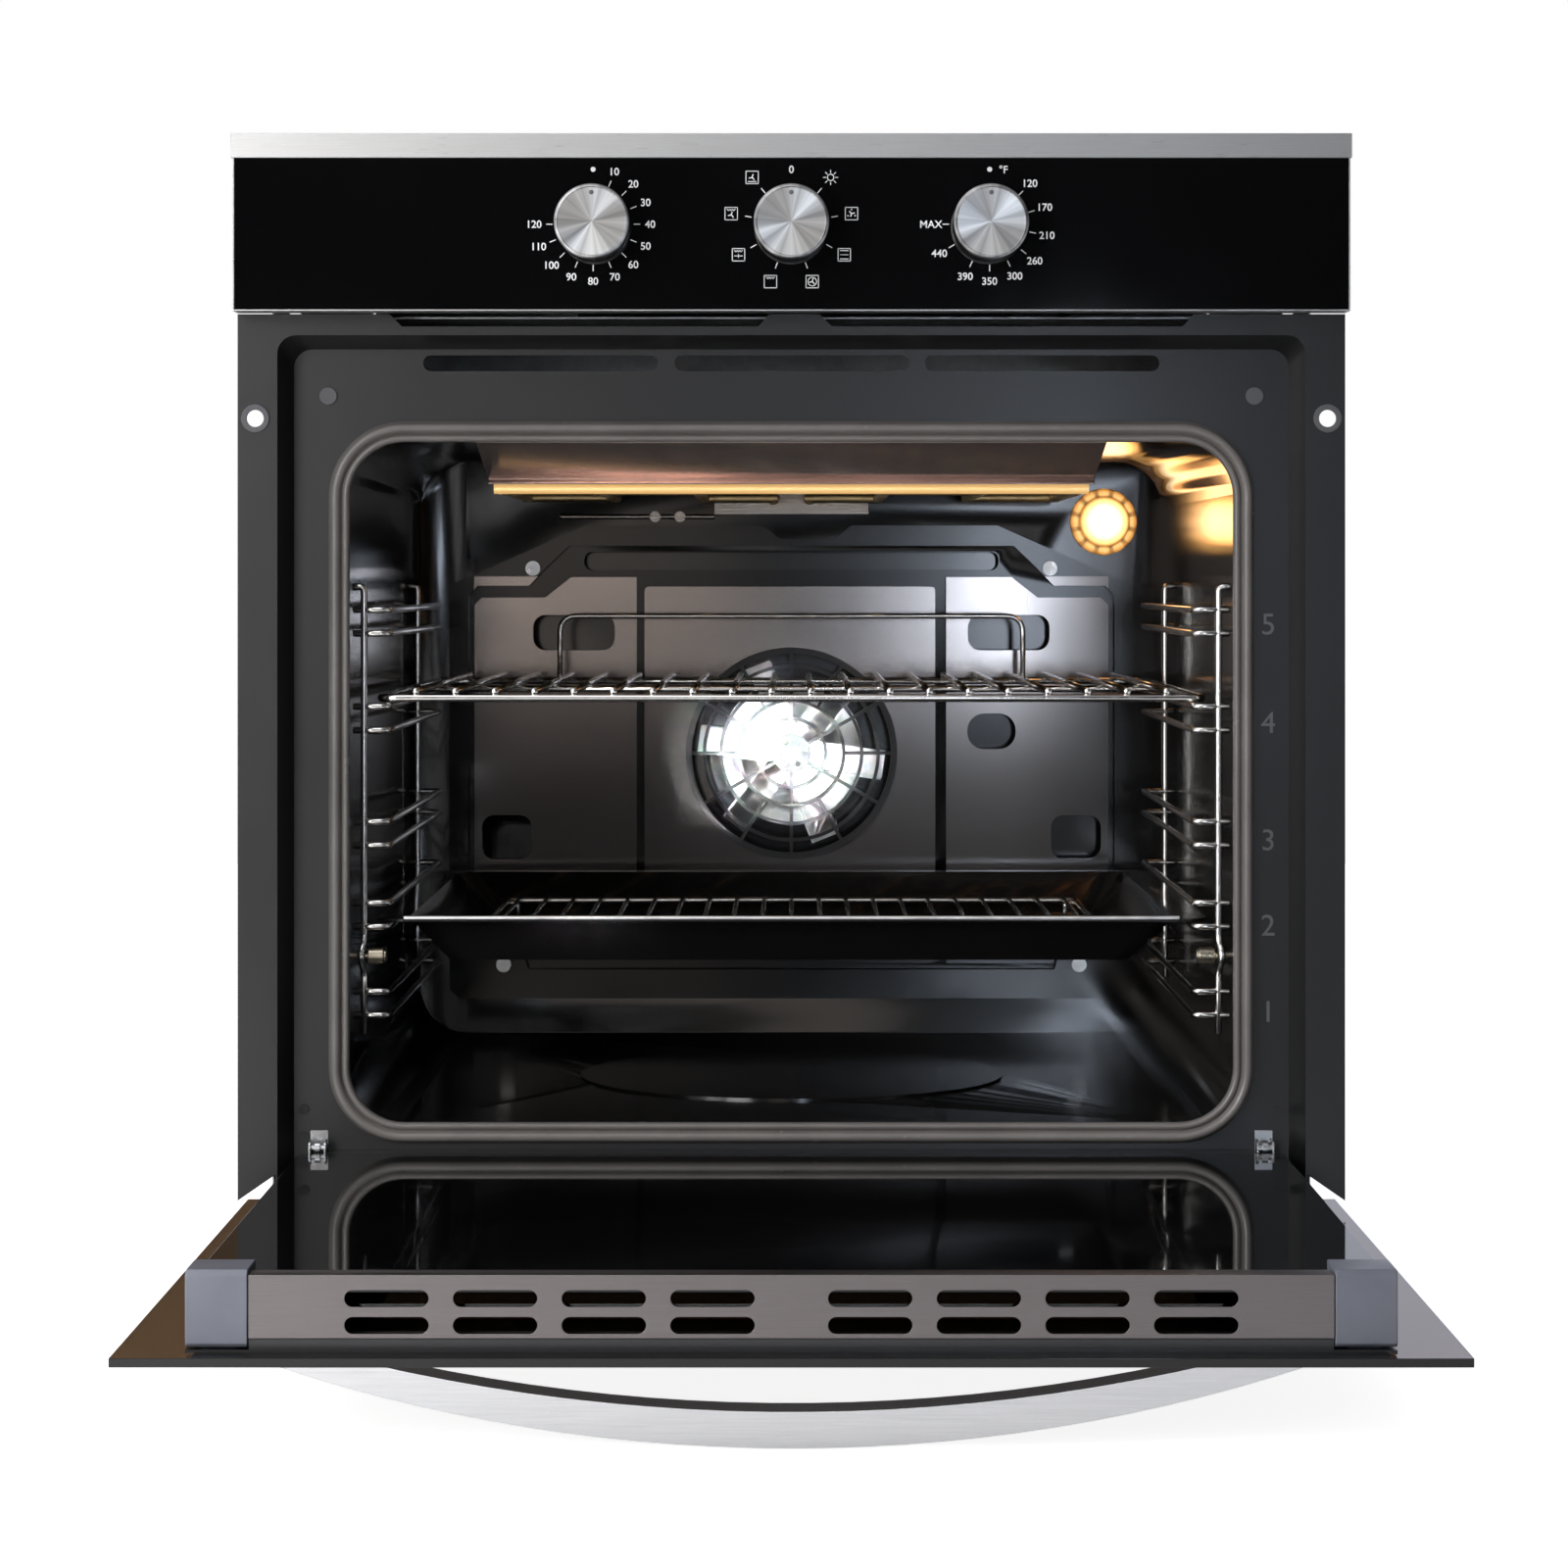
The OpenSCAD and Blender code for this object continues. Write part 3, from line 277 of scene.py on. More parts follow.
def spun(name, color, rough):
    """Metal turned on a lathe: rings about Y in each piece's own space, and soft wedge-shaped patches of painted
    highlight and shade in its colour.
    """
    shade = Shader(name, color, rough, 1.0, Anisotropic=0.85)
    tangent = shade.node("ShaderNodeTangent", direction_type="RADIAL", axis="Y")
    shade.link(tangent.outputs["Tangent"], shade.bsdf.inputs["Tangent"])
    place = shade.split()
    squares = [shade.calc("MULTIPLY", place[axis], place[axis]) for axis in ("X", "Z")]
    radius = shade.calc("SQRT", shade.calc("ADD", *squares))
    rings = shade.node("ShaderNodeTexNoise", noise_dimensions="1D")
    rings.inputs["Scale"].default_value = 2600
    rings.inputs["Detail"].default_value = 2
    shade.link(radius, rings.inputs["W"])
    heading = shade.node("ShaderNodeVectorMath", operation="NORMALIZE")
    flat = shade.node("ShaderNodeCombineXYZ")
    shade.link(place["X"], flat.inputs["X"])
    shade.link(place["Z"], flat.inputs["Z"])
    shade.link(flat.outputs[0], heading.inputs[0])
    painted_light_wedges = shade.node("ShaderNodeTexNoise")
    painted_light_wedges.inputs["Scale"].default_value = 2.3
    painted_light_wedges.inputs["Detail"].default_value = 5
    shade.link(heading.outputs[0], painted_light_wedges.inputs["Vector"])
    # colour darker in wedge-shaped patches round the axis: painted highlight and shade
    shade.vary_color(painted_light_wedges.outputs["Fac"], tuple(c * 0.36 for c in color))
    return shade.bump(rings.outputs["Fac"], 0.000001, 0.1).material


def wool(name, color):
    """Mineral wool, with long soft fibres."""
    shade = Shader(name, color, 0.95, Sheen_Weight=0.3)
    fibres = shade.noise(90, 9, (1, 1, 4), 0.75, 1.5)
    shade.vary_color(fibres, tuple(c * 0.6 for c in color))
    return shade.bump(fibres, 0.002).material


def glowing(name, color, strength):
    """A lit bulb: a coloured glass that gives its own light."""
    shade = Shader(name, color, 0.25, IOR=1.45, Emission_Strength=strength)
    cells = shade.noise(160, 4)
    shade.vary_color(cells, tuple(c * 0.85 for c in color))
    shade.set("Emission Color", (*color, 1))
    return shade.bump(cells, 0.0004, 0.6).material


def lit_glass(name, x, z):
    """Pressed glass lit from within: a pale lens, a dark groove and a ring of twelve golden beads about (x, z)."""
    rim, lens_end, beads_start = 0.0216, 0.0155, 0.0165
    shade = Shader(name, (1.0, 0.62, 0.24), 0.2, IOR=1.45)
    middle_at = shade.node("ShaderNodeMapping")
    middle_at.inputs["Location"].default_value = (-x * MM, 0, -z * MM)
    split = shade.node("ShaderNodeSeparateXYZ")
    shade.link(shade.coords, middle_at.inputs["Vector"])
    shade.link(middle_at.outputs[0], split.inputs["Vector"])
    flat = shade.node("ShaderNodeCombineXYZ")
    shade.link(split.outputs["X"], flat.inputs["X"])
    shade.link(split.outputs["Z"], flat.inputs["Y"])
    reach = shade.node("ShaderNodeVectorMath", operation="LENGTH")
    shade.link(flat.outputs[0], reach.inputs[0])
    twelve = shade.node("ShaderNodeMath", operation="MULTIPLY")
    twelve.inputs[1].default_value = 12
    shade.link(shade.calc("ARCTAN2", split.outputs["Z"], split.outputs["X"]), twelve.inputs[0])
    beads = shade.ramp(shade.calc("COSINE", twelve.outputs[0]), 0.25, 1.0, -0.9, -0.2)
    band = shade.node("ShaderNodeValToRGB")
    band.color_ramp.interpolation = "EASE"
    stops = band.color_ramp.elements
    stops[0].position, stops[0].color = 0.0, (1.0, 0.93, 0.76, 1)
    stops[1].position, stops[1].color = 1.0, (0.16, 0.06, 0.012, 1)
    for place, tone in ((0.45, (1.0, 0.90, 0.62)), (0.62, (1.0, 0.66, 0.24)), (0.74, (0.30, 0.13, 0.03)),
                        (0.84, (0.95, 0.60, 0.22)), (0.94, (0.55, 0.28, 0.07))):
        stops.new(place).color = (*tone, 1)
    shade.link(shade.ramp(reach.outputs["Value"], 0.0, 1.0, 0, rim), band.inputs["Fac"])
    shade.link(band.outputs["Color"], shade.bsdf.inputs["Emission Color"])
    outer = shade.ramp(reach.outputs["Value"], 0.0, 1.0, lens_end, beads_start)
    glow = shade.node("ShaderNodeMix", data_type="FLOAT")
    glow.inputs["A"].default_value = 1.5
    shade.link(outer, glow.inputs["Factor"])
    shade.link(beads, glow.inputs["B"])
    shade.link(glow.outputs["Result"], shade.bsdf.inputs["Emission Strength"])
    shade.vary_rough(shade.noise(160, 3), 0.04)
    return shade.bump(shade.noise(160, 4), 0.0002, 0.4).material


LOOKS = {
    "front_enamel": enamel("front_enamel", (0.0055, 0.0055, 0.0061), rough=0.34, coat=0.15),
    "cavity_enamel": enamel("cavity_enamel", (0.0036, 0.0034, 0.0032), rough=0.15, coat=0.2),
    "cover_enamel": pressed_cover("cover_enamel", (0.33, 0.300, 0.285), rough=0.15),
    "guard_metal": enamel("guard_metal", (0.004, 0.004, 0.004), rough=0.45, coat=0.0),
    "grey_plastic": moulded("grey_plastic", (0.085, 0.085, 0.092), rough=0.45),
    "black_rubber": moulded("black_rubber", (0.012, 0.012, 0.013), rough=0.6),
    "gasket_rubber": moulded("gasket_rubber", (0.145, 0.134, 0.126), rough=0.24),
    "screw_steel": plated("screw_steel", (0.86, 0.85, 0.82), rough=0.30),
    "element_tube": plated("element_tube", (0.12, 0.10, 0.085), rough=0.42),
    # the grill tube's glow is a painted golden highlight on its front run
    "grill_tube": plated("grill_tube", (0.95, 0.72, 0.38), rough=0.40, glow=(1.0, 0.60, 0.22)),
    "plain_steel": brushed("plain_steel", (0.48, 0.44, 0.40), rough=0.3),
    "motor_iron": plated("motor_iron", (0.30, 0.31, 0.32), rough=0.5),
    "lamp_socket": moulded("lamp_socket", (0.62, 0.58, 0.50), rough=0.55),
    "lamp_glow": glowing("lamp_glow", (1.0, 0.66, 0.30), strength=4.0),
    "lamp_glass": lit_glass("lamp_glass", *LAMP),
    "rack_chrome": plated("rack_chrome", (0.90, 0.88, 0.85), rough=0.16, tarnish=0.9),
    "nut_steel": plated("nut_steel", (0.52, 0.46, 0.36), rough=0.28),
    "galvanised": galvanised("galvanised", (0.56, 0.57, 0.58), rough=0.38),
    "mineral_wool": wool("mineral_wool", (0.68, 0.58, 0.34)),
    "gland_plastic": moulded("gland_plastic", (0.018, 0.018, 0.020), rough=0.5),
    "terminal_plastic": moulded("terminal_plastic", (0.72, 0.70, 0.64), rough=0.45),
    "dark_plastic": moulded("dark_plastic", (0.028, 0.028, 0.032), rough=0.5),
    "unit_metal": brushed("unit_metal", (0.52, 0.53, 0.54), rough=0.35),
    "panel_glass": glass("panel_glass", (0.0022, 0.0022, 0.0025), rough=0.05, transmission=0.0),
    "trim_steel": brushed("trim_steel", (0.56, 0.555, 0.55), rough=0.32, direction=(1, 70, 70)),
    "knob_metal": spun("knob_metal", (0.90, 0.895, 0.89), rough=0.28),
    "fan_metal": plated("fan_metal", (0.93, 0.93, 0.92), rough=0.5, tarnish=0.95),
    "blower_metal": plated("blower_metal", (0.60, 0.61, 0.62), rough=0.35),
    "tray_enamel": enamel("tray_enamel", (0.010, 0.0095, 0.0095), rough=0.16, coat=0.8),
    "door_glass": edged_glass("door_glass", (0.16, 0.095, 0.050), rough=0.03, transmission=0.85),
    "clear_glass": glass("clear_glass", (0.70, 0.74, 0.74), rough=0.02, transmission=1.0),
    "inner_glass": glass("inner_glass", (0.002, 0.002, 0.0022), rough=0.035, transmission=0.0),
    "door_enamel": enamel("door_enamel", (0.012, 0.012, 0.013), rough=0.3, coat=0.3),
    "door_trim": brushed("door_trim", (0.215, 0.195, 0.192), rough=0.34, direction=(1, 60, 60)),
    "cap_plastic": moulded("cap_plastic", (0.105, 0.112, 0.135), rough=0.36),
    "handle_metal": brushed("handle_metal", (0.74, 0.74, 0.75), rough=0.22, direction=(1, 50, 50)),
    "hinge_steel": plated("hinge_steel", (0.56, 0.57, 0.58), rough=0.28),
}
PRINT_WHITE = moulded("print_white", (0.82, 0.82, 0.82), rough=0.5)
# a brighter metallic copy of the cover enamel, which paints the sheen on the grill deflector
DEFLECTOR_SHEEN = enamel("deflector_painted_sheen", (0.80, 0.66, 0.60), rough=0.24, coat=0.1, metallic=0.9)
# bright metal for the tray's front bead: a painted highlight on the enamel edge
PAINTED_HIGHLIGHT_BEAD = plated("painted_highlight_bead", (0.95, 0.95, 0.94), rough=0.42)
PRINT_BLACK = moulded("print_black", (0.004, 0.004, 0.004), rough=0.35)
PRINT_GREY = moulded("print_grey", (0.105, 0.105, 0.110), rough=0.5)


# ---- Piece building -------------------------------------------------------------

WELD = 0.000004
BEVEL_FROM = math.radians(32)
WIRE_SHARP = 50


def add(name, mesh, node, look=None, sharp=35, replace=True):
    """Links a finished mesh as a piece that rides on the body of a CAD node."""
    piece = bpy.data.objects.new(name, mesh)
    bpy.context.scene.collection.objects.link(piece)
    mesh.materials.clear()
    mesh.materials.append(look or LOOKS[SLOT_OF[node]])
    mesh.shade_smooth()
    mesh.set_sharp_from_angle(angle=math.radians(sharp))
    if replace:
        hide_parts(node)
    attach(piece, BODY_OF[node])
    return piece


def to_mesh(bm, name):
    mesh = bpy.data.meshes.new(name)
    bmesh.ops.recalc_face_normals(bm, faces=bm.faces)
    bm.to_mesh(mesh)
    bm.free()
    return mesh


def soften(node, width, look=None):
    """The CAD shape with its sheet edges rounded off."""
    bm = bmesh.new()
    bm.from_mesh(NODES[node].data)
    bmesh.ops.remove_doubles(bm, verts=bm.verts, dist=WELD)
    bmesh.ops.dissolve_limit(bm, angle_limit=math.radians(1), verts=bm.verts, edges=bm.edges)
    piece = add(node + "_finished", to_mesh(bm, node + "_finished"), node, look)
    bevel = piece.modifiers.new("edges", "BEVEL")
    bevel.width = width
    bevel.segments = 2
    bevel.limit_method = "ANGLE"
    bevel.angle_limit = BEVEL_FROM
    bevel.harden_normals = True
    return piece


def keep(*nodes):
    """CAD nodes whose shape stays as it is, with a finished material."""
    for node in nodes:
        mesh = NODES[node].data
        if not mesh.materials:
            mesh.materials.append(None)
        for index in range(len(NODES[node].material_slots)):
            NODES[node].material_slots[index].material = LOOKS[SLOT_OF[node]]


# ---- Wires, lathed pieces and flat shapes ----------------------------------------

def at(x, y, z):
    return Vector((x, y, z)) * MM


def rounded(points, bend, steps=5):
    """A path with each of its corners turned on a smooth bend, in millimetres."""
    path = [points[0]]
    for before, corner, after in zip(points, points[1:], points[2:]):
        back, ahead = before - corner, after - corner
        cut = min(bend * MM, back.length * 0.48, ahead.length * 0.48)
        start = corner + back.normalized() * cut
        end = corner + ahead.normalized() * cut
        for step in range(steps + 1):
            t = step / steps
            path.append(start.lerp(corner, t).lerp(corner.lerp(end, t), t))
    return path + [points[-1]]


def sweep(bm, path, radius, sides=12, closed=False):
    """A round wire along a path, with domed ends."""
    radius *= MM
    if not closed:
        ahead, behind = (path[1] - path[0]).normalized(), (path[-1] - path[-2]).normalized()
        path = [path[0], path[0] + ahead * radius * 0.3, *path[1:-1], path[-1] - behind * radius * 0.3, path[-1]]
    count = len(path)
    side = (path[1] - path[0]).orthogonal().normalized()
    rings = []
    for index, place in enumerate(path):
        before = path[index - 1] if index or closed else place
        after = path[(index + 1) % count] if index < count - 1 or closed else place
        heading = (after - before).normalized()
        side = (side - heading * side.dot(heading)).normalized()
        up = heading.cross(side)
        width = radius * (0.72 if not closed and index in (0, count - 1) else 1)
        rings.append([
            bm.verts.new(place + (side * math.cos(a) + up * math.sin(a)) * width)
            for a in (math.tau * k / sides for k in range(sides))
        ])
    pairs = zip(rings, rings[1:] + rings[:1]) if closed else zip(rings, rings[1:])
    for ring, following in pairs:
        for k in range(sides):
            other = (k + 1) % sides
            bm.faces.new((ring[k], ring[other], following[other], following[k]))
    if not closed:
        bm.faces.new(rings[0])
        bm.faces.new(list(reversed(rings[-1])))


def wires(name, node, paths):
    """One piece made of many bent wires, each (points, bend, radius)."""
    bm = bmesh.new()
    for points, bend, radius in paths:
        sweep(bm, rounded(points, bend), radius)
    return add(name, to_mesh(bm, name), node, sharp=WIRE_SHARP)


def loop_path(x, y0, y1, z, bend):
    """A closed rectangle of wire in a level plane, started in the middle of its back."""
    corners = [at(0, y1, z), at(x, y1, z), at(x, y0, z), at(-x, y0, z), at(-x, y1, z), at(0, y1, z)]
    return rounded(corners, bend)[:-1]


def skin(bm, rings):
    """Faces from ring to ring, where a ring of one point closes the shape."""
    around = max(len(ring) for ring in rings)
    for first, second in zip(rings, rings[1:]):
        for k in range(around):
            other = (k + 1) % around
            if len(first) == 1:
                bm.faces.new((first[0], second[k], second[other]))
            elif len(second) == 1:
                bm.faces.new((first[k], second[0], first[other]))
            else:
                bm.faces.new((first[k], second[k], second[other], first[other]))


def lathe(bm, profile, around, axis=(0, 0)):
    """Turns (radius, y) points about a line along Y through (x, z), all in millimetres."""
    rings = []
    for radius, y in profile:
        if radius <= 0:
            rings.append([bm.verts.new(at(axis[0], y, axis[1]))])
            continue
        rings.append([
            bm.verts.new(at(axis[0] + radius * math.cos(a), y, axis[1] + radius * math.sin(a)))
            for a in (math.tau * k / around for k in range(around))
        ])
    skin(bm, rings)


def outline(w, z0, z1, r, steps):
    """Points of an upright rectangle with round corners about the oven's middle plane."""
    points = []
    for corner in range(4):
        side = 1 if corner in (0, 3) else -1
        cx, cz = side * (w / 2 - r), (z1 - r) if corner < 2 else (z0 + r)
        for step in range(steps + 1):
            a = math.radians(90 * corner + 90 * step / steps)
            points.append((cx + r * math.cos(a), cz + r * math.sin(a)))
    return points


def moulding(bm, w, z0, z1, r, profile, steps):
    """Sweeps a closed (inset, y) profile round an outline, with each point inset from it."""
    rings = []
    for inset, y in profile:
        around = outline(w - 2 * inset, z0 + inset, z1 - inset, max(r - inset, 0.5), steps)
        rings.append([bm.verts.new(at(x, y, z)) for x, z in around])
    count = len(rings[0])
    for ring, following in zip(rings, rings[1:] + rings[:1]):
        for k in range(count):
            other = (k + 1) % count
            bm.faces.new((ring[k], ring[other], following[other], following[k]))


# ---- Racks and tray insert ---------------------------------------------------------

GUIDE_Z = (132, 180.5, 225, 288, 341)
RACK_FRONT, RACK_REAR = 44, 375


def side_rack(node, s):
    """Two bent uprights and five pairs of guide wires. s is the side, -1 or 1."""
    paths = []
    for y in (RACK_FRONT, RACK_REAR):
        upright = [at(s * 240.5, y, 353.6), at(s * 233.9, y, 353.6), at(s * 233.9, y, 159),
                   at(s * 235.9, y - 5.2, 151.7), at(s * 233.9, y, 144), at(s * 233.9, y, 108.7)]
        paths.append((upright, 4.5, 2.0))
    for z in GUIDE_Z:
        for drop in (0, 13):
            turns = ((240, RACK_FRONT), (220.3, RACK_FRONT), (220.3, RACK_REAR), (240, RACK_REAR))
            guide = [at(s * x, y, z - drop) for x, y in turns]
            paths.append((guide, 5, 1.95))
    wires(node + "_wires", node, paths)


side_rack("side_rack_left", -1)
side_rack("side_rack_right", 1)


SHELF_MIDDLE = 244


def upper_rack():
    """The wire shelf: a frame, a cross bar, twenty wires from front to back and the stop bow."""
    bm = bmesh.new()
    half, z = 225.7, 292.55
    sweep(bm, loop_path(half, 49, 439, z, 9), 2.25, closed=True)
    sweep(bm, [at(x, SHELF_MIDDLE, z) for x in (-half, 0, half)], 2.1)
    for i in range(20):
        x = -206 + i * 412 / 19
        sweep(bm, [at(x, y, z + 3.7) for y in (46.9, SHELF_MIDDLE, 441)], 2.05)
    bow = [at(-148, 433, 290), at(-148, 433, 334.2), at(148, 433, 334.2), at(148, 433, 290)]
    sweep(bm, rounded(bow, 11, 8), 1.75)
    sweep(bm, [at(x, 430, z) for x in (-206, 0, 206)], 1.8)
    add("upper_rack_wires", to_mesh(bm, "upper_rack_wires"), "upper_rack", sharp=WIRE_SHARP)


def tray_insert():
    """The wire grid in the tray: a frame, 21 wires from front to back and four feet."""
    bm = bmesh.new()
    z = 155.1
    sweep(bm, loop_path(179, 91, 398, z, 8), 1.95, closed=True)
    for i in range(21):
        x = -170 + i * 17
        sweep(bm, [at(x, y, z + 2.6) for y in (90.2, SHELF_MIDDLE, 398.8)], 1.4, 10)
    for s in (-1, 1):
        for y in (115, 374):
            leg = [at(s * 179, y, z + 0.2), at(s * 171, y, z), at(s * 171, y, 147.3)]
            sweep(bm, rounded(leg, 3), 1.5)
    add("tray_insert_wires", to_mesh(bm, "tray_insert_wires"), "tray_insert", sharp=WIRE_SHARP)


upper_rack()
tray_insert()


# ---- Gasket, knobs, lamp -------------------------------------------------------------

def door_gasket():
    """Silicone seal with a fat outer lip, a groove and a thinner inner lip."""
    profile = [(0, 21), (0, 19.4), (0.7, 18.7), (1.1, 16.6), (1.7, 14.8), (2.8, 13.6), (4.1, 13.35), (5.4, 13.8),
               (6.2, 15.0), (6.6, 16.6), (7.2, 17.5), (7.9, 16.4), (8.8, 15.5), (9.9, 15.4), (10.8, 16.2),
               (11.3, 17.6), (11.3, 21)]
    bm = bmesh.new()
    moulding(bm, w=501.2, z0=52.2, z1=443.3, r=41, profile=profile, steps=16)
    add("door_gasket_lips", to_mesh(bm, "door_gasket_lips"), "door_gasket", sharp=70)


def knob(node, x):
    """A turned knob: rolled skirt, straight grip, bright edge and a slightly dished spun face."""
    profile = [(0, 5.9), (2.95, 5.9), (2.95, -21.3), (18.6, -21.3), (19.4, -21.9), (19.6, -23.0), (19.35, -23.9),
               (19.35, -38.6), (19.75, -39.3), (19.95, -40.2), (19.75, -41.2), (19.1, -41.8), (18.3, -41.9),
               (17.9, -41.55), (9, -41.35), (0, -41.25)]
    bm = bmesh.new()
    lathe(bm, profile, 96)
    mesh = to_mesh(bm, node + "_turned")
    piece = bpy.data.objects.new(node + "_turned", mesh)
    bpy.context.scene.collection.objects.link(piece)
    mesh.materials.append(LOOKS["knob_metal"])
    mesh.shade_smooth()
    mesh.set_sharp_from_angle(angle=math.radians(30))
    piece.location = at(x, 0, KNOB_Z)
    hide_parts(node)
    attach(piece, BODY_OF[node])
    bm = bmesh.new()
    mark = [(0, -41.2), (1.25, -41.2), (1.25, -41.62), (1.0, -41.8), (0, -41.85)]
    lathe(bm, mark, 20, (x, KNOB_Z + 15.2))
    add(node + "_mark", to_mesh(bm, node + "_mark"), node, PRINT_GREY, replace=False)


def lamp_cover():
    """Pressed glass cover: a scalloped rim and a domed lens with radial flutes."""
    rings = [(21.6, 478.6), (21.6, 475.4), (20.9, 474.2), (19.4, 473.4), (17.2, 473.2), (16.5, 472.2), (16.4, 468.4),
             (15.6, 466.6), (13.6, 465.7), (11, 465.35), (8, 465.3), (4, 465.3), (0, 465.3)]
    bm = bmesh.new()
    around = 96
    rows = []
    for radius, y in rings:
        if not radius:
            rows.append([bm.verts.new(at(LAMP[0], y, LAMP[1]))])
            continue
        row = []
        for k in range(around):
            a = math.tau * k / around
            wave = 0.5 + 0.5 * math.cos(12 * a)
            depth = y + (1.1 * wave if 16.8 < radius < 21 else 0) + (0.55 * wave if 7 < radius < 16 else 0)
            row.append(bm.verts.new(at(LAMP[0] + radius * math.cos(a), depth, LAMP[1] + radius * math.sin(a))))
        rows.append(row)
    skin(bm, rows)
    add("lamp_cover_pressed", to_mesh(bm, "lamp_cover_pressed"), "lamp_cover", sharp=60)


door_gasket()
for node, x in (("timer_knob", -KNOB_X), ("function_knob", 0), ("thermostat_knob", KNOB_X)):
    knob(node, x)
lamp_cover()


# ---- Printing on the control glass and the shelf numbers ----------------------------

class Print:
    """Flat printed marks in the plane of a face that looks along -Y, in millimetres."""

    def __init__(self, plane):
        self.bm = bmesh.new()
        self.plane = plane

    def polygon(self, points):
        front = [self.bm.verts.new(at(x, self.plane - PRINT_LIFT, z)) for x, z in points]
        self.bm.faces.new(front)

    def stroke(self, points, width):
        """A line of one width through points, drawn as overlapping bars with square ends."""
        for (x0, z0), (x1, z1) in zip(points, points[1:]):
            length = math.hypot(x1 - x0, z1 - z0)
            dx, dz = (x1 - x0) / length * width / 2, (z1 - z0) / length * width / 2
            self.polygon([(x0 - dx - dz, z0 - dz + dx), (x0 - dx + dz, z0 - dz - dx),
                          (x1 + dx + dz, z1 + dz - dx), (x1 + dx - dz, z1 + dz + dx)])

    def disc(self, x, z, radius, sides=20):
        self.polygon([(x + radius * math.cos(math.tau * k / sides), z + radius * math.sin(math.tau * k / sides))
                      for k in range(sides)])

    def ring(self, x, z, radius, width, sides=24):
        angles = [math.radians(360 / sides * k) for k in range(sides + 1)]
        for a, b in zip(angles, angles[1:]):
            inner, outer = radius - width / 2, radius + width / 2
            self.polygon([(x + reach * math.cos(turn), z + reach * math.sin(turn))
                          for reach, turn in ((inner, a), (outer, a), (outer, b), (inner, b))])

    def words(self, text, x, z, height, weight=0.02):
        """Characters centred on a point."""
        curve = bpy.data.curves.new("words", "FONT")
        curve.body = text
        curve.size = height / 0.7
        curve.offset = weight * height
        curve.align_x, curve.align_y = "CENTER", "CENTER"
        holder = bpy.data.objects.new("words", curve)
        bpy.context.scene.collection.objects.link(holder)
        bpy.context.view_layer.update()
        mesh = bpy.data.meshes.new_from_object(holder.evaluated_get(bpy.context.evaluated_depsgraph_get()))
        xs = [v.co.x for v in mesh.vertices]
        ys = [v.co.y for v in mesh.vertices]
        mx, my = (min(xs) + max(xs)) / 2, (min(ys) + max(ys)) / 2
        face_y = self.plane - PRINT_LIFT
        placed = [self.bm.verts.new(at(x + v.co.x - mx, face_y, z + v.co.y - my)) for v in mesh.vertices]
        for face in mesh.polygons:
            self.bm.faces.new([placed[k] for k in face.vertices])
        bpy.data.objects.remove(holder)
        bpy.data.meshes.remove(mesh)
        bpy.data.curves.remove(curve)

    def piece(self, name, node, look):
        for face in self.bm.faces:
            face.normal_update()
            if face.normal.y > 0:
                face.normal_flip()
        mesh = bpy.data.meshes.new(name)
        self.bm.to_mesh(mesh)
        self.bm.free()
        made = bpy.data.objects.new(name, mesh)
        bpy.context.scene.collection.objects.link(made)
        mesh.materials.append(look)
        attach(made, BODY_OF[node])


def polar(x, z, radius, degrees):
    """A point at a clock angle from straight up, about a centre."""
    a = math.radians(degrees)
    return x + radius * math.sin(a), z + radius * math.cos(a)


TICK = (21.8, 24.8)
LABEL_REACH = 30.3
DOT_REACH = 29.2
ICON_REACH = 32.5
TEXT_HEIGHT = 3.9


def tick(sheet, x, degrees):
    """A short line beside a knob, at a clock angle."""
    sheet.stroke([polar(x, KNOB_Z, reach, degrees) for reach in TICK], 0.5)


def dial(sheet, x, marks):
    """Numbers and their ticks round a knob. A mark with no text is a dot."""
    for degrees, text in marks:
        if text:
            tick(sheet, x, degrees)
            wider = 0.75 * (len(text) - 2) * abs(math.sin(math.radians(degrees)))
            sheet.words(text, *polar(x, KNOB_Z, LABEL_REACH + wider, degrees), TEXT_HEIGHT)
        else:
            sheet.disc(*polar(x, KNOB_Z, DOT_REACH, degrees), 1.35)


def icon(sheet, x, z, kind):
    """A square pictogram about 7 mm wide: the outline of an oven with what is on inside it."""
    line = 0.42
    if kind == "light":
        sheet.ring(x, z, 1.7, line)
        for k in range(8):
            sheet.stroke([polar(x, z, 2.6, 45 * k), polar(x, z, 3.8, 45 * k)], line)
        return
    half = 3.3
    turns = ((-1, -1), (-1, 1), (1, 1), (1, -1), (-1, -1))
    sheet.stroke([(x + i * half, z + j * half) for i, j in turns], line)
    if kind in ("bake", "pizza"):
        sheet.stroke([(x - 2.1, z - 2.2), (x + 2.1, z - 2.2)], line)
    if kind == "bake":
        sheet.stroke([(x - 2.1, z + 2.2), (x + 2.1, z + 2.2)], line)
        sheet.stroke([(x - 2.1, z), (x + 2.1, z)], line * 0.7)
    if "broil" in kind:
        for k in range(3):
            start = x - 2.1 + 1.4 * k
            sheet.stroke([(start, z + 2.4), (start + 0.7, z + 1.5), (start + 1.4, z + 2.4)], line)
    if kind == "broil_turn":
        sheet.stroke([(x - 2.1, z - 0.6), (x + 2.1, z - 0.6)], line)
        sheet.stroke([(x, z - 1.5), (x, z + 0.3)], line)
    if kind in ("fan", "thaw", "pizza", "fan_broil"):
        centre = z - (0.7 if kind == "fan_broil" else 0)
        for k in range(3):
            a = 120 * k + (60 if kind == "thaw" else 0)
            sheet.stroke([polar(x, centre, 0.3, a), polar(x, centre, 1.5, a + 18)], line * 1.4)
    if kind == "fan":
        sheet.ring(x, z, 2.3, line)
    if kind == "thaw":
        for k in range(3):
            sheet.disc(*polar(x, z, 2.2, 120 * k), 0.4, 10)


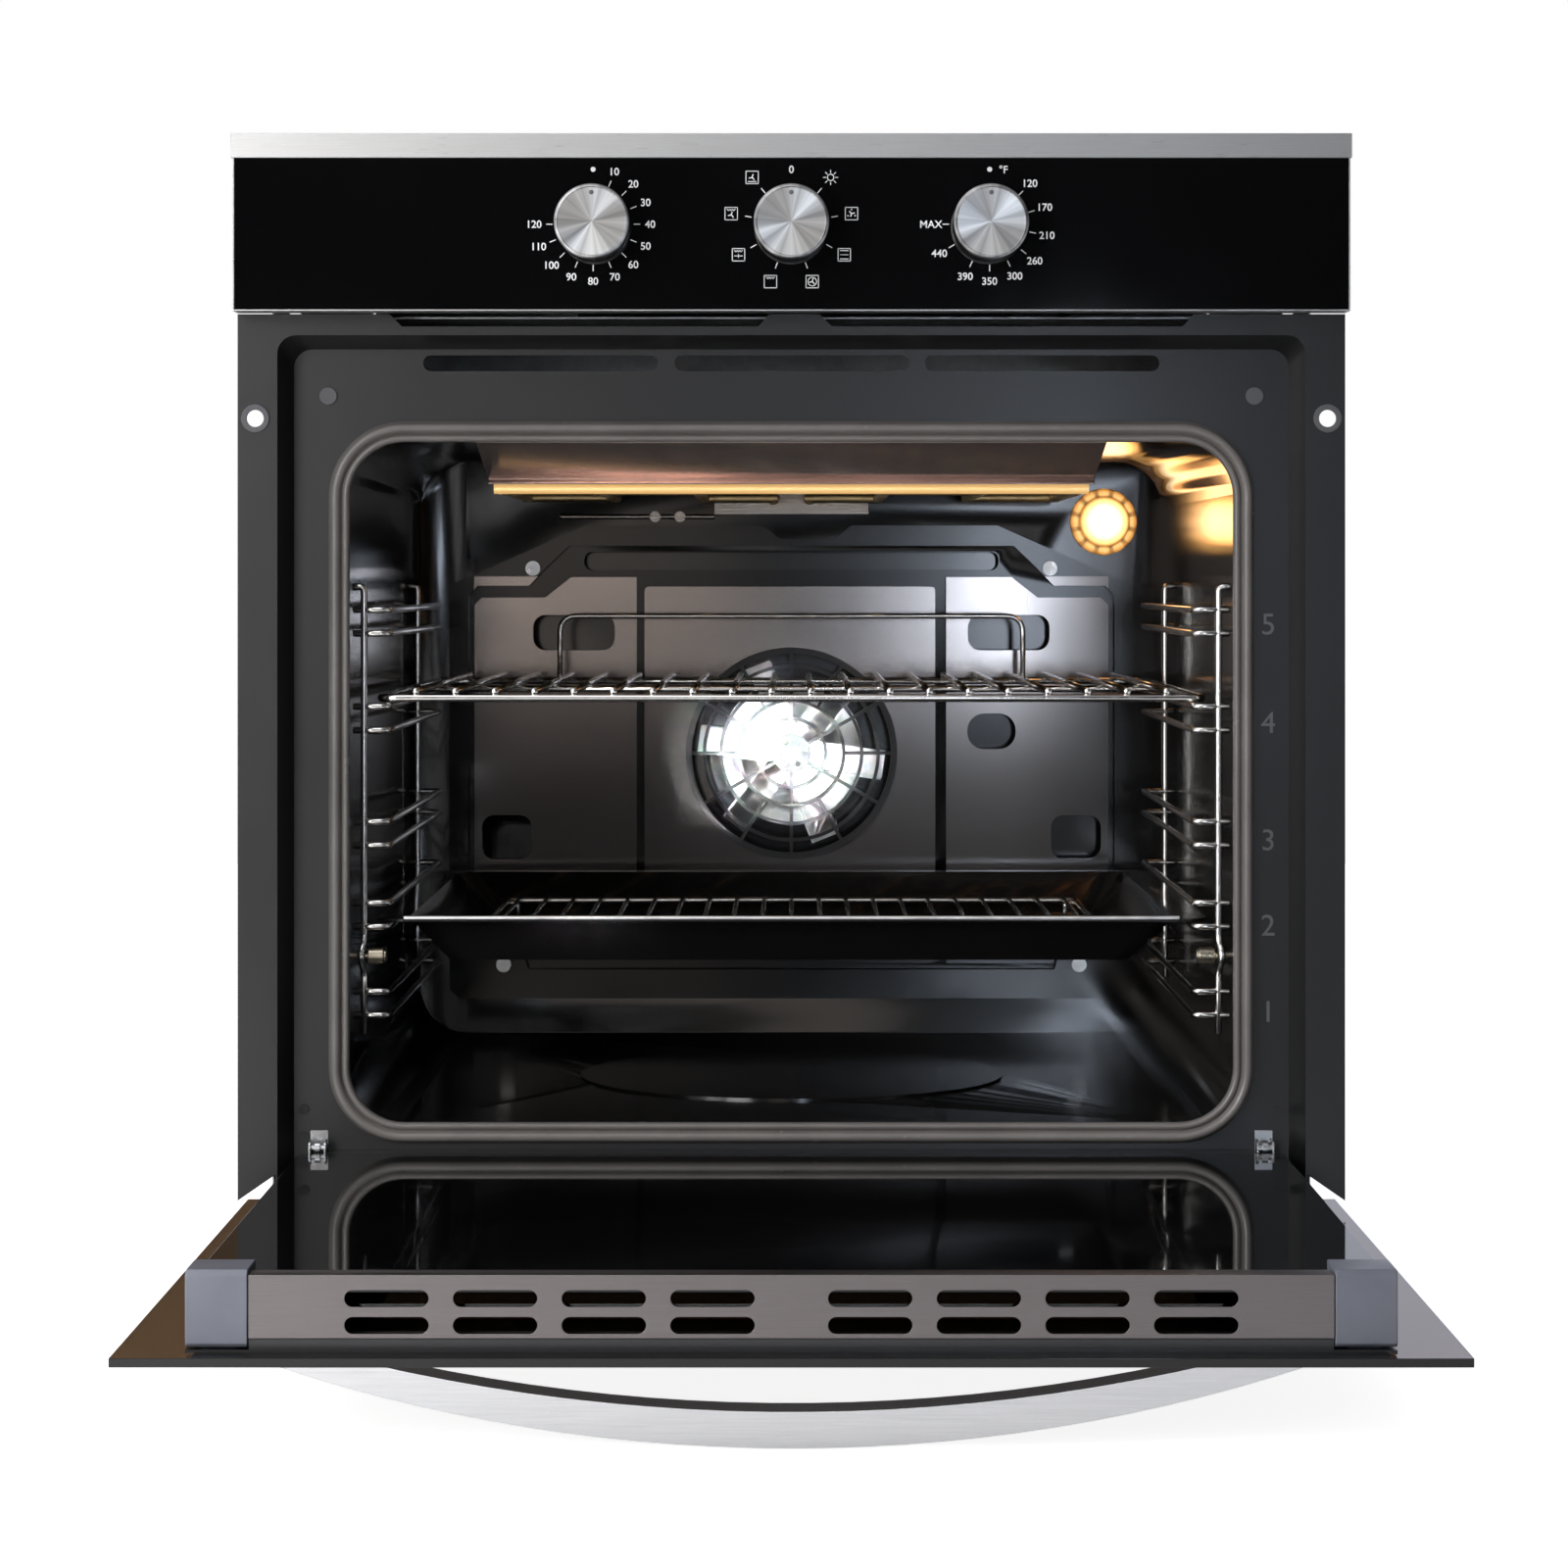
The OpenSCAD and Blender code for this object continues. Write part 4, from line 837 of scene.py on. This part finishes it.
def printing():
    glass_face = low("control_panel_glass").y / MM
    timer = Print(glass_face)
    dial(timer, -KNOB_X, [(0, "")] + [(22.5 * k, str(10 * k)) for k in range(1, 13)])
    timer.piece("timer_print", "control_panel_glass", PRINT_WHITE)
    heat = Print(glass_face)
    degrees = (0, 45, 73, 101, 129, 154, 180, 205, 240, 270)
    dial(heat, KNOB_X, zip(degrees, ("", "120", "170", "210", "260", "300", "350", "390", "440", "MAX")))
    heat.words("°F", KNOB_X + 7.4, KNOB_Z + DOT_REACH, TEXT_HEIGHT)
    heat.piece("thermostat_print", "control_panel_glass", PRINT_WHITE)
    modes = Print(glass_face)
    modes.words("0", 0, KNOB_Z + DOT_REACH, TEXT_HEIGHT)
    kinds = ("light", "thaw", "bake", "fan", "broil", "broil_turn", "fan_broil", "pizza")
    for k, kind in enumerate(kinds, 1):
        tick(modes, 0, 40 * k)
        icon(modes, *polar(0, KNOB_Z, ICON_REACH, 40 * k), kind)
    modes.piece("function_print", "control_panel_glass", PRINT_WHITE)
    shelves = Print(RECESS_FACE)
    for number, z in zip("54321", (333.3, 280.1, 216.4, 170.2, 123.4)):
        shelves.words(number, 258.4, z, 11.5, 0.0)
    shelves.piece("shelf_numbers", "front_frame", PRINT_GREY)


printing()


# ---- Sheet metal, glass and castings --------------------------------------------------

def black_border():
    """The black printed border inside the door's outer glass, round its window and along its top edge."""
    low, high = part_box("door_outer_glass")
    face = high.z + 0.00005
    side, window, end = 0.262, 0.190, low.y + 0.0002
    front, back, foot = -0.330, -0.075, -0.010
    bm = bmesh.new()
    for x0, x1, y0, y1 in ((-side, side, end, front), (-side, side, back, foot),
                           (-side, -window, front, back), (window, side, front, back)):
        bm.faces.new([bm.verts.new((x, y, face)) for x, y in ((x0, y0), (x1, y0), (x1, y1), (x0, y1))])
    left, right, under, over = low.x + 0.001, high.x - 0.001, low.z + 0.0002, high.z - 0.0002
    corners = ((left, under), (right, under), (right, over), (left, over))
    bm.faces.new([bm.verts.new((x, end, z)) for x, z in corners])
    add("door_glass_border", to_mesh(bm, "door_glass_border"), "door_outer_glass", PRINT_BLACK, replace=False)


def tray_rim():
    """The bright bead along the tray's front edge: a painted highlight in bright metal on the enamel edge."""
    low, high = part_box("baking_tray")
    bm = bmesh.new()
    half = high.x - 0.016
    sweep(bm, [Vector((x, low.y + 0.0013, high.z - 0.0005)) for x in (-half, half)], 1.32, 12)
    add("tray_painted_highlight_bead", to_mesh(bm, "tray_painted_highlight_bead"), "baking_tray", PAINTED_HIGHLIGHT_BEAD, replace=False)


black_border()
tray_rim()
for node, width in (
    ("front_frame", 0.0006), ("front_bushes", 0.0004), ("frame_plugs", 0.0005), ("fan_cover", 0.0009),
    ("fan_guard", 0.0006), ("fan_cover_screws", 0.0004), ("grill_bracket", 0.0002),
    ("control_panel_frame", 0.0003), ("control_panel_glass", 0.0004), ("door_outer_glass", 0.0002),
    ("door_inner_glass", 0.0006), ("door_top_trim", 0.0009), ("door_end_caps", 0.0016), ("door_handle", 0.003),
    ("baking_tray", 0.0006), ("side_rack_nuts", 0.0006), ("hinge_arms", 0.0003), ("hinge_receivers", 0.0004),
    ("hinge_bodies", 0.0003), ("convection_fan", 0.0004), ("cable_gland", 0.001), ("rear_cover", 0.0005),
    ("top_cover", 0.0003), ("side_panels", 0.0003), ("cavity_liner", 0.0006),
):
    soften(node, width)
soften("grill_deflector", 0.0003, look=DEFLECTOR_SHEEN)
keep(*[node for node in NODES if not NODES[node].hide_render])

# ---- Floor, light and camera -----------------------------------------------------

def light(name, kind, place, aim, watts, size=1.0, tint=(1, 1, 1), shape=None, spread=180):
    lamp = bpy.data.lights.new(name, kind)
    lamp.energy = watts
    lamp.color = tint
    if kind == "AREA":
        lamp.shape = "RECTANGLE"
        lamp.size, lamp.size_y = shape or (size, size)
        lamp.spread = math.radians(spread)
    else:
        lamp.shadow_soft_size = size
    holder = bpy.data.objects.new(name, lamp)
    bpy.context.scene.collection.objects.link(holder)
    holder.location = place
    holder.rotation_euler = (Vector(aim) - Vector(place)).to_track_quat("-Z", "Y").to_euler()
    holder.visible_camera = False
    return holder


def studio_world():
    """A white room to the camera. To the object it is lit from the left, and dark straight behind the camera."""
    world = bpy.data.worlds.new("studio")
    world.use_nodes = True
    bpy.context.scene.world = world
    tree = world.node_tree
    tree.nodes.clear()
    coords = tree.nodes.new("ShaderNodeTexCoord")
    split = tree.nodes.new("ShaderNodeSeparateXYZ")
    tree.links.new(coords.outputs["Generated"], split.inputs[0])

    def span(axis, start, end, first, last):
        ranged = tree.nodes.new("ShaderNodeMapRange")
        ranged.interpolation_type = "SMOOTHSTEP"
        for key, value in (("From Min", start), ("From Max", end), ("To Min", first), ("To Max", last)):
            ranged.inputs[key].default_value = value
        tree.links.new(split.outputs[axis], ranged.inputs["Value"])
        return ranged.outputs["Result"]

    def mixed(factor, one, other):
        node = tree.nodes.new("ShaderNodeMix")
        node.data_type = "RGBA"
        tree.links.new(factor, node.inputs["Factor"])
        for key, value in (("A", one), ("B", other)):
            if isinstance(value, tuple):
                node.inputs[key].default_value = (*value, 1)
            else:
                tree.links.new(value, node.inputs[key])
        return node.outputs["Result"]

    sides = mixed(span("X", -0.8, 0.8, 0, 1), (0.80, 0.80, 0.86), (0.10, 0.10, 0.11))
    front = mixed(span("Y", -0.97, -0.45, 0, 1), (0.012, 0.012, 0.012), sides)
    rear = mixed(span("X", -0.10, 0.10, 0, 1), (0.10, 0.065, 0.04), (0.66, 0.68, 0.78))
    room = tree.nodes.new("ShaderNodeBackground")
    tree.links.new(mixed(span("Y", 0.55, 0.9, 0, 1), front, rear), room.inputs["Color"])
    backdrop = tree.nodes.new("ShaderNodeBackground")
    path = tree.nodes.new("ShaderNodeLightPath")
    mix = tree.nodes.new("ShaderNodeMixShader")
    backdrop.inputs["Color"].default_value = (1, 1, 1, 1)
    tree.links.new(path.outputs["Is Camera Ray"], mix.inputs["Fac"])
    tree.links.new(room.outputs[0], mix.inputs[1])
    tree.links.new(backdrop.outputs[0], mix.inputs[2])
    output = tree.nodes.new("ShaderNodeOutputWorld")
    tree.links.new(mix.outputs[0], output.inputs["Surface"])


def floor():
    bm = bmesh.new()
    level = cad_box[0][2] - 0.002
    corners = [(-3, -1.45), (3, -1.45), (3, 3.5), (-3, 3.5)]
    bm.faces.new([bm.verts.new((x, y, level)) for x, y in corners])
    mesh = bpy.data.meshes.new("floor")
    bm.to_mesh(mesh)
    bm.free()
    piece = bpy.data.objects.new("floor", mesh)
    bpy.context.scene.collection.objects.link(piece)
    shade = Shader("floor", (0.8, 0.8, 0.8), 0.7)
    shade.vary_color(shade.noise(3, 3), (0.77, 0.77, 0.77))
    shade.bump(shade.noise(300, 2), 0.0001, 0.2)
    glow = shade.node("ShaderNodeEmission")
    both = shade.node("ShaderNodeAddShader")
    seen = shade.node("ShaderNodeLightPath")
    shade.link(shade.bsdf.outputs[0], both.inputs[0])
    shade.link(glow.outputs[0], both.inputs[1])
    shade.link(shade.ramp(seen.outputs["Is Camera Ray"], 0.12, 0.88, 0, 1), glow.inputs["Strength"])
    shade.link(both.outputs[0], shade.tree.nodes["Material Output"].inputs["Surface"])
    mesh.materials.append(shade.material)


def camera():
    """The photograph's view: level, from in front, a little over half way up."""
    data = bpy.data.cameras.new("camera")
    data.lens = 97.08
    data.sensor_width = 36
    data.shift_x = -0.0047
    data.shift_y = -0.1306
    data.clip_end = 60
    holder = bpy.data.objects.new("camera", data)
    bpy.context.scene.collection.objects.link(holder)
    holder.location = (0, -2.271, 0.3577)
    holder.rotation_euler = (math.radians(90), 0, 0)
    bpy.context.scene.camera = holder


studio_world()
floor()
camera()
light("softbox_left", "AREA", (-1.05, -1.75, 0.75), (-0.1, 0.1, 0.35), watts=17, shape=(0.5, 1.3))
light("softbox_right", "AREA", (1.9, -1.2, 0.9), (0, 0.1, 0.3), watts=1.1, shape=(0.5, 1.2))
light("softbox_top", "AREA", (-0.6, -1.1, 2.3), (0, 0.1, 0.3), watts=9, shape=(1.6, 0.8))
light("softbox_front", "AREA", (-0.1, -3.2, 1.35), (0, 0, 0.4), watts=0.8, shape=(1.3, 0.7), spread=90)
light("floor_wash", "AREA", (-1.1, -1.1, 0.5), (-0.45, -0.8, -0.03), watts=4, shape=(0.3, 0.5), spread=80)
light("sheen_right", "AREA", (0.36, -3.4, 0.43), (0.1, 0.4, 0.25), watts=0.150, shape=(0.15, 0.46),
      tint=(0.84, 0.95, 1.12), spread=40)
light("sheen_left", "AREA", (-0.44, -3.4, 0.44), (-0.1, 0.4, 0.25), watts=0.042, shape=(0.7, 0.40),
      tint=(1.1, 0.98, 0.9), spread=40)
light("fan_spot", "AREA", (-0.6, -1.9, 0.08), middle("convection_fan"), watts=0.10, size=0.05, spread=2.6)
light("oven_lamp", "POINT", middle("lamp_cover") + Vector((0, -0.040, 0)), (0, 0, 0), watts=0.035, size=0.016,
      tint=(1.0, 0.42, 0.12))
bpy.context.scene.view_settings.view_transform = "Standard"
bpy.context.scene.view_settings.look = "None"
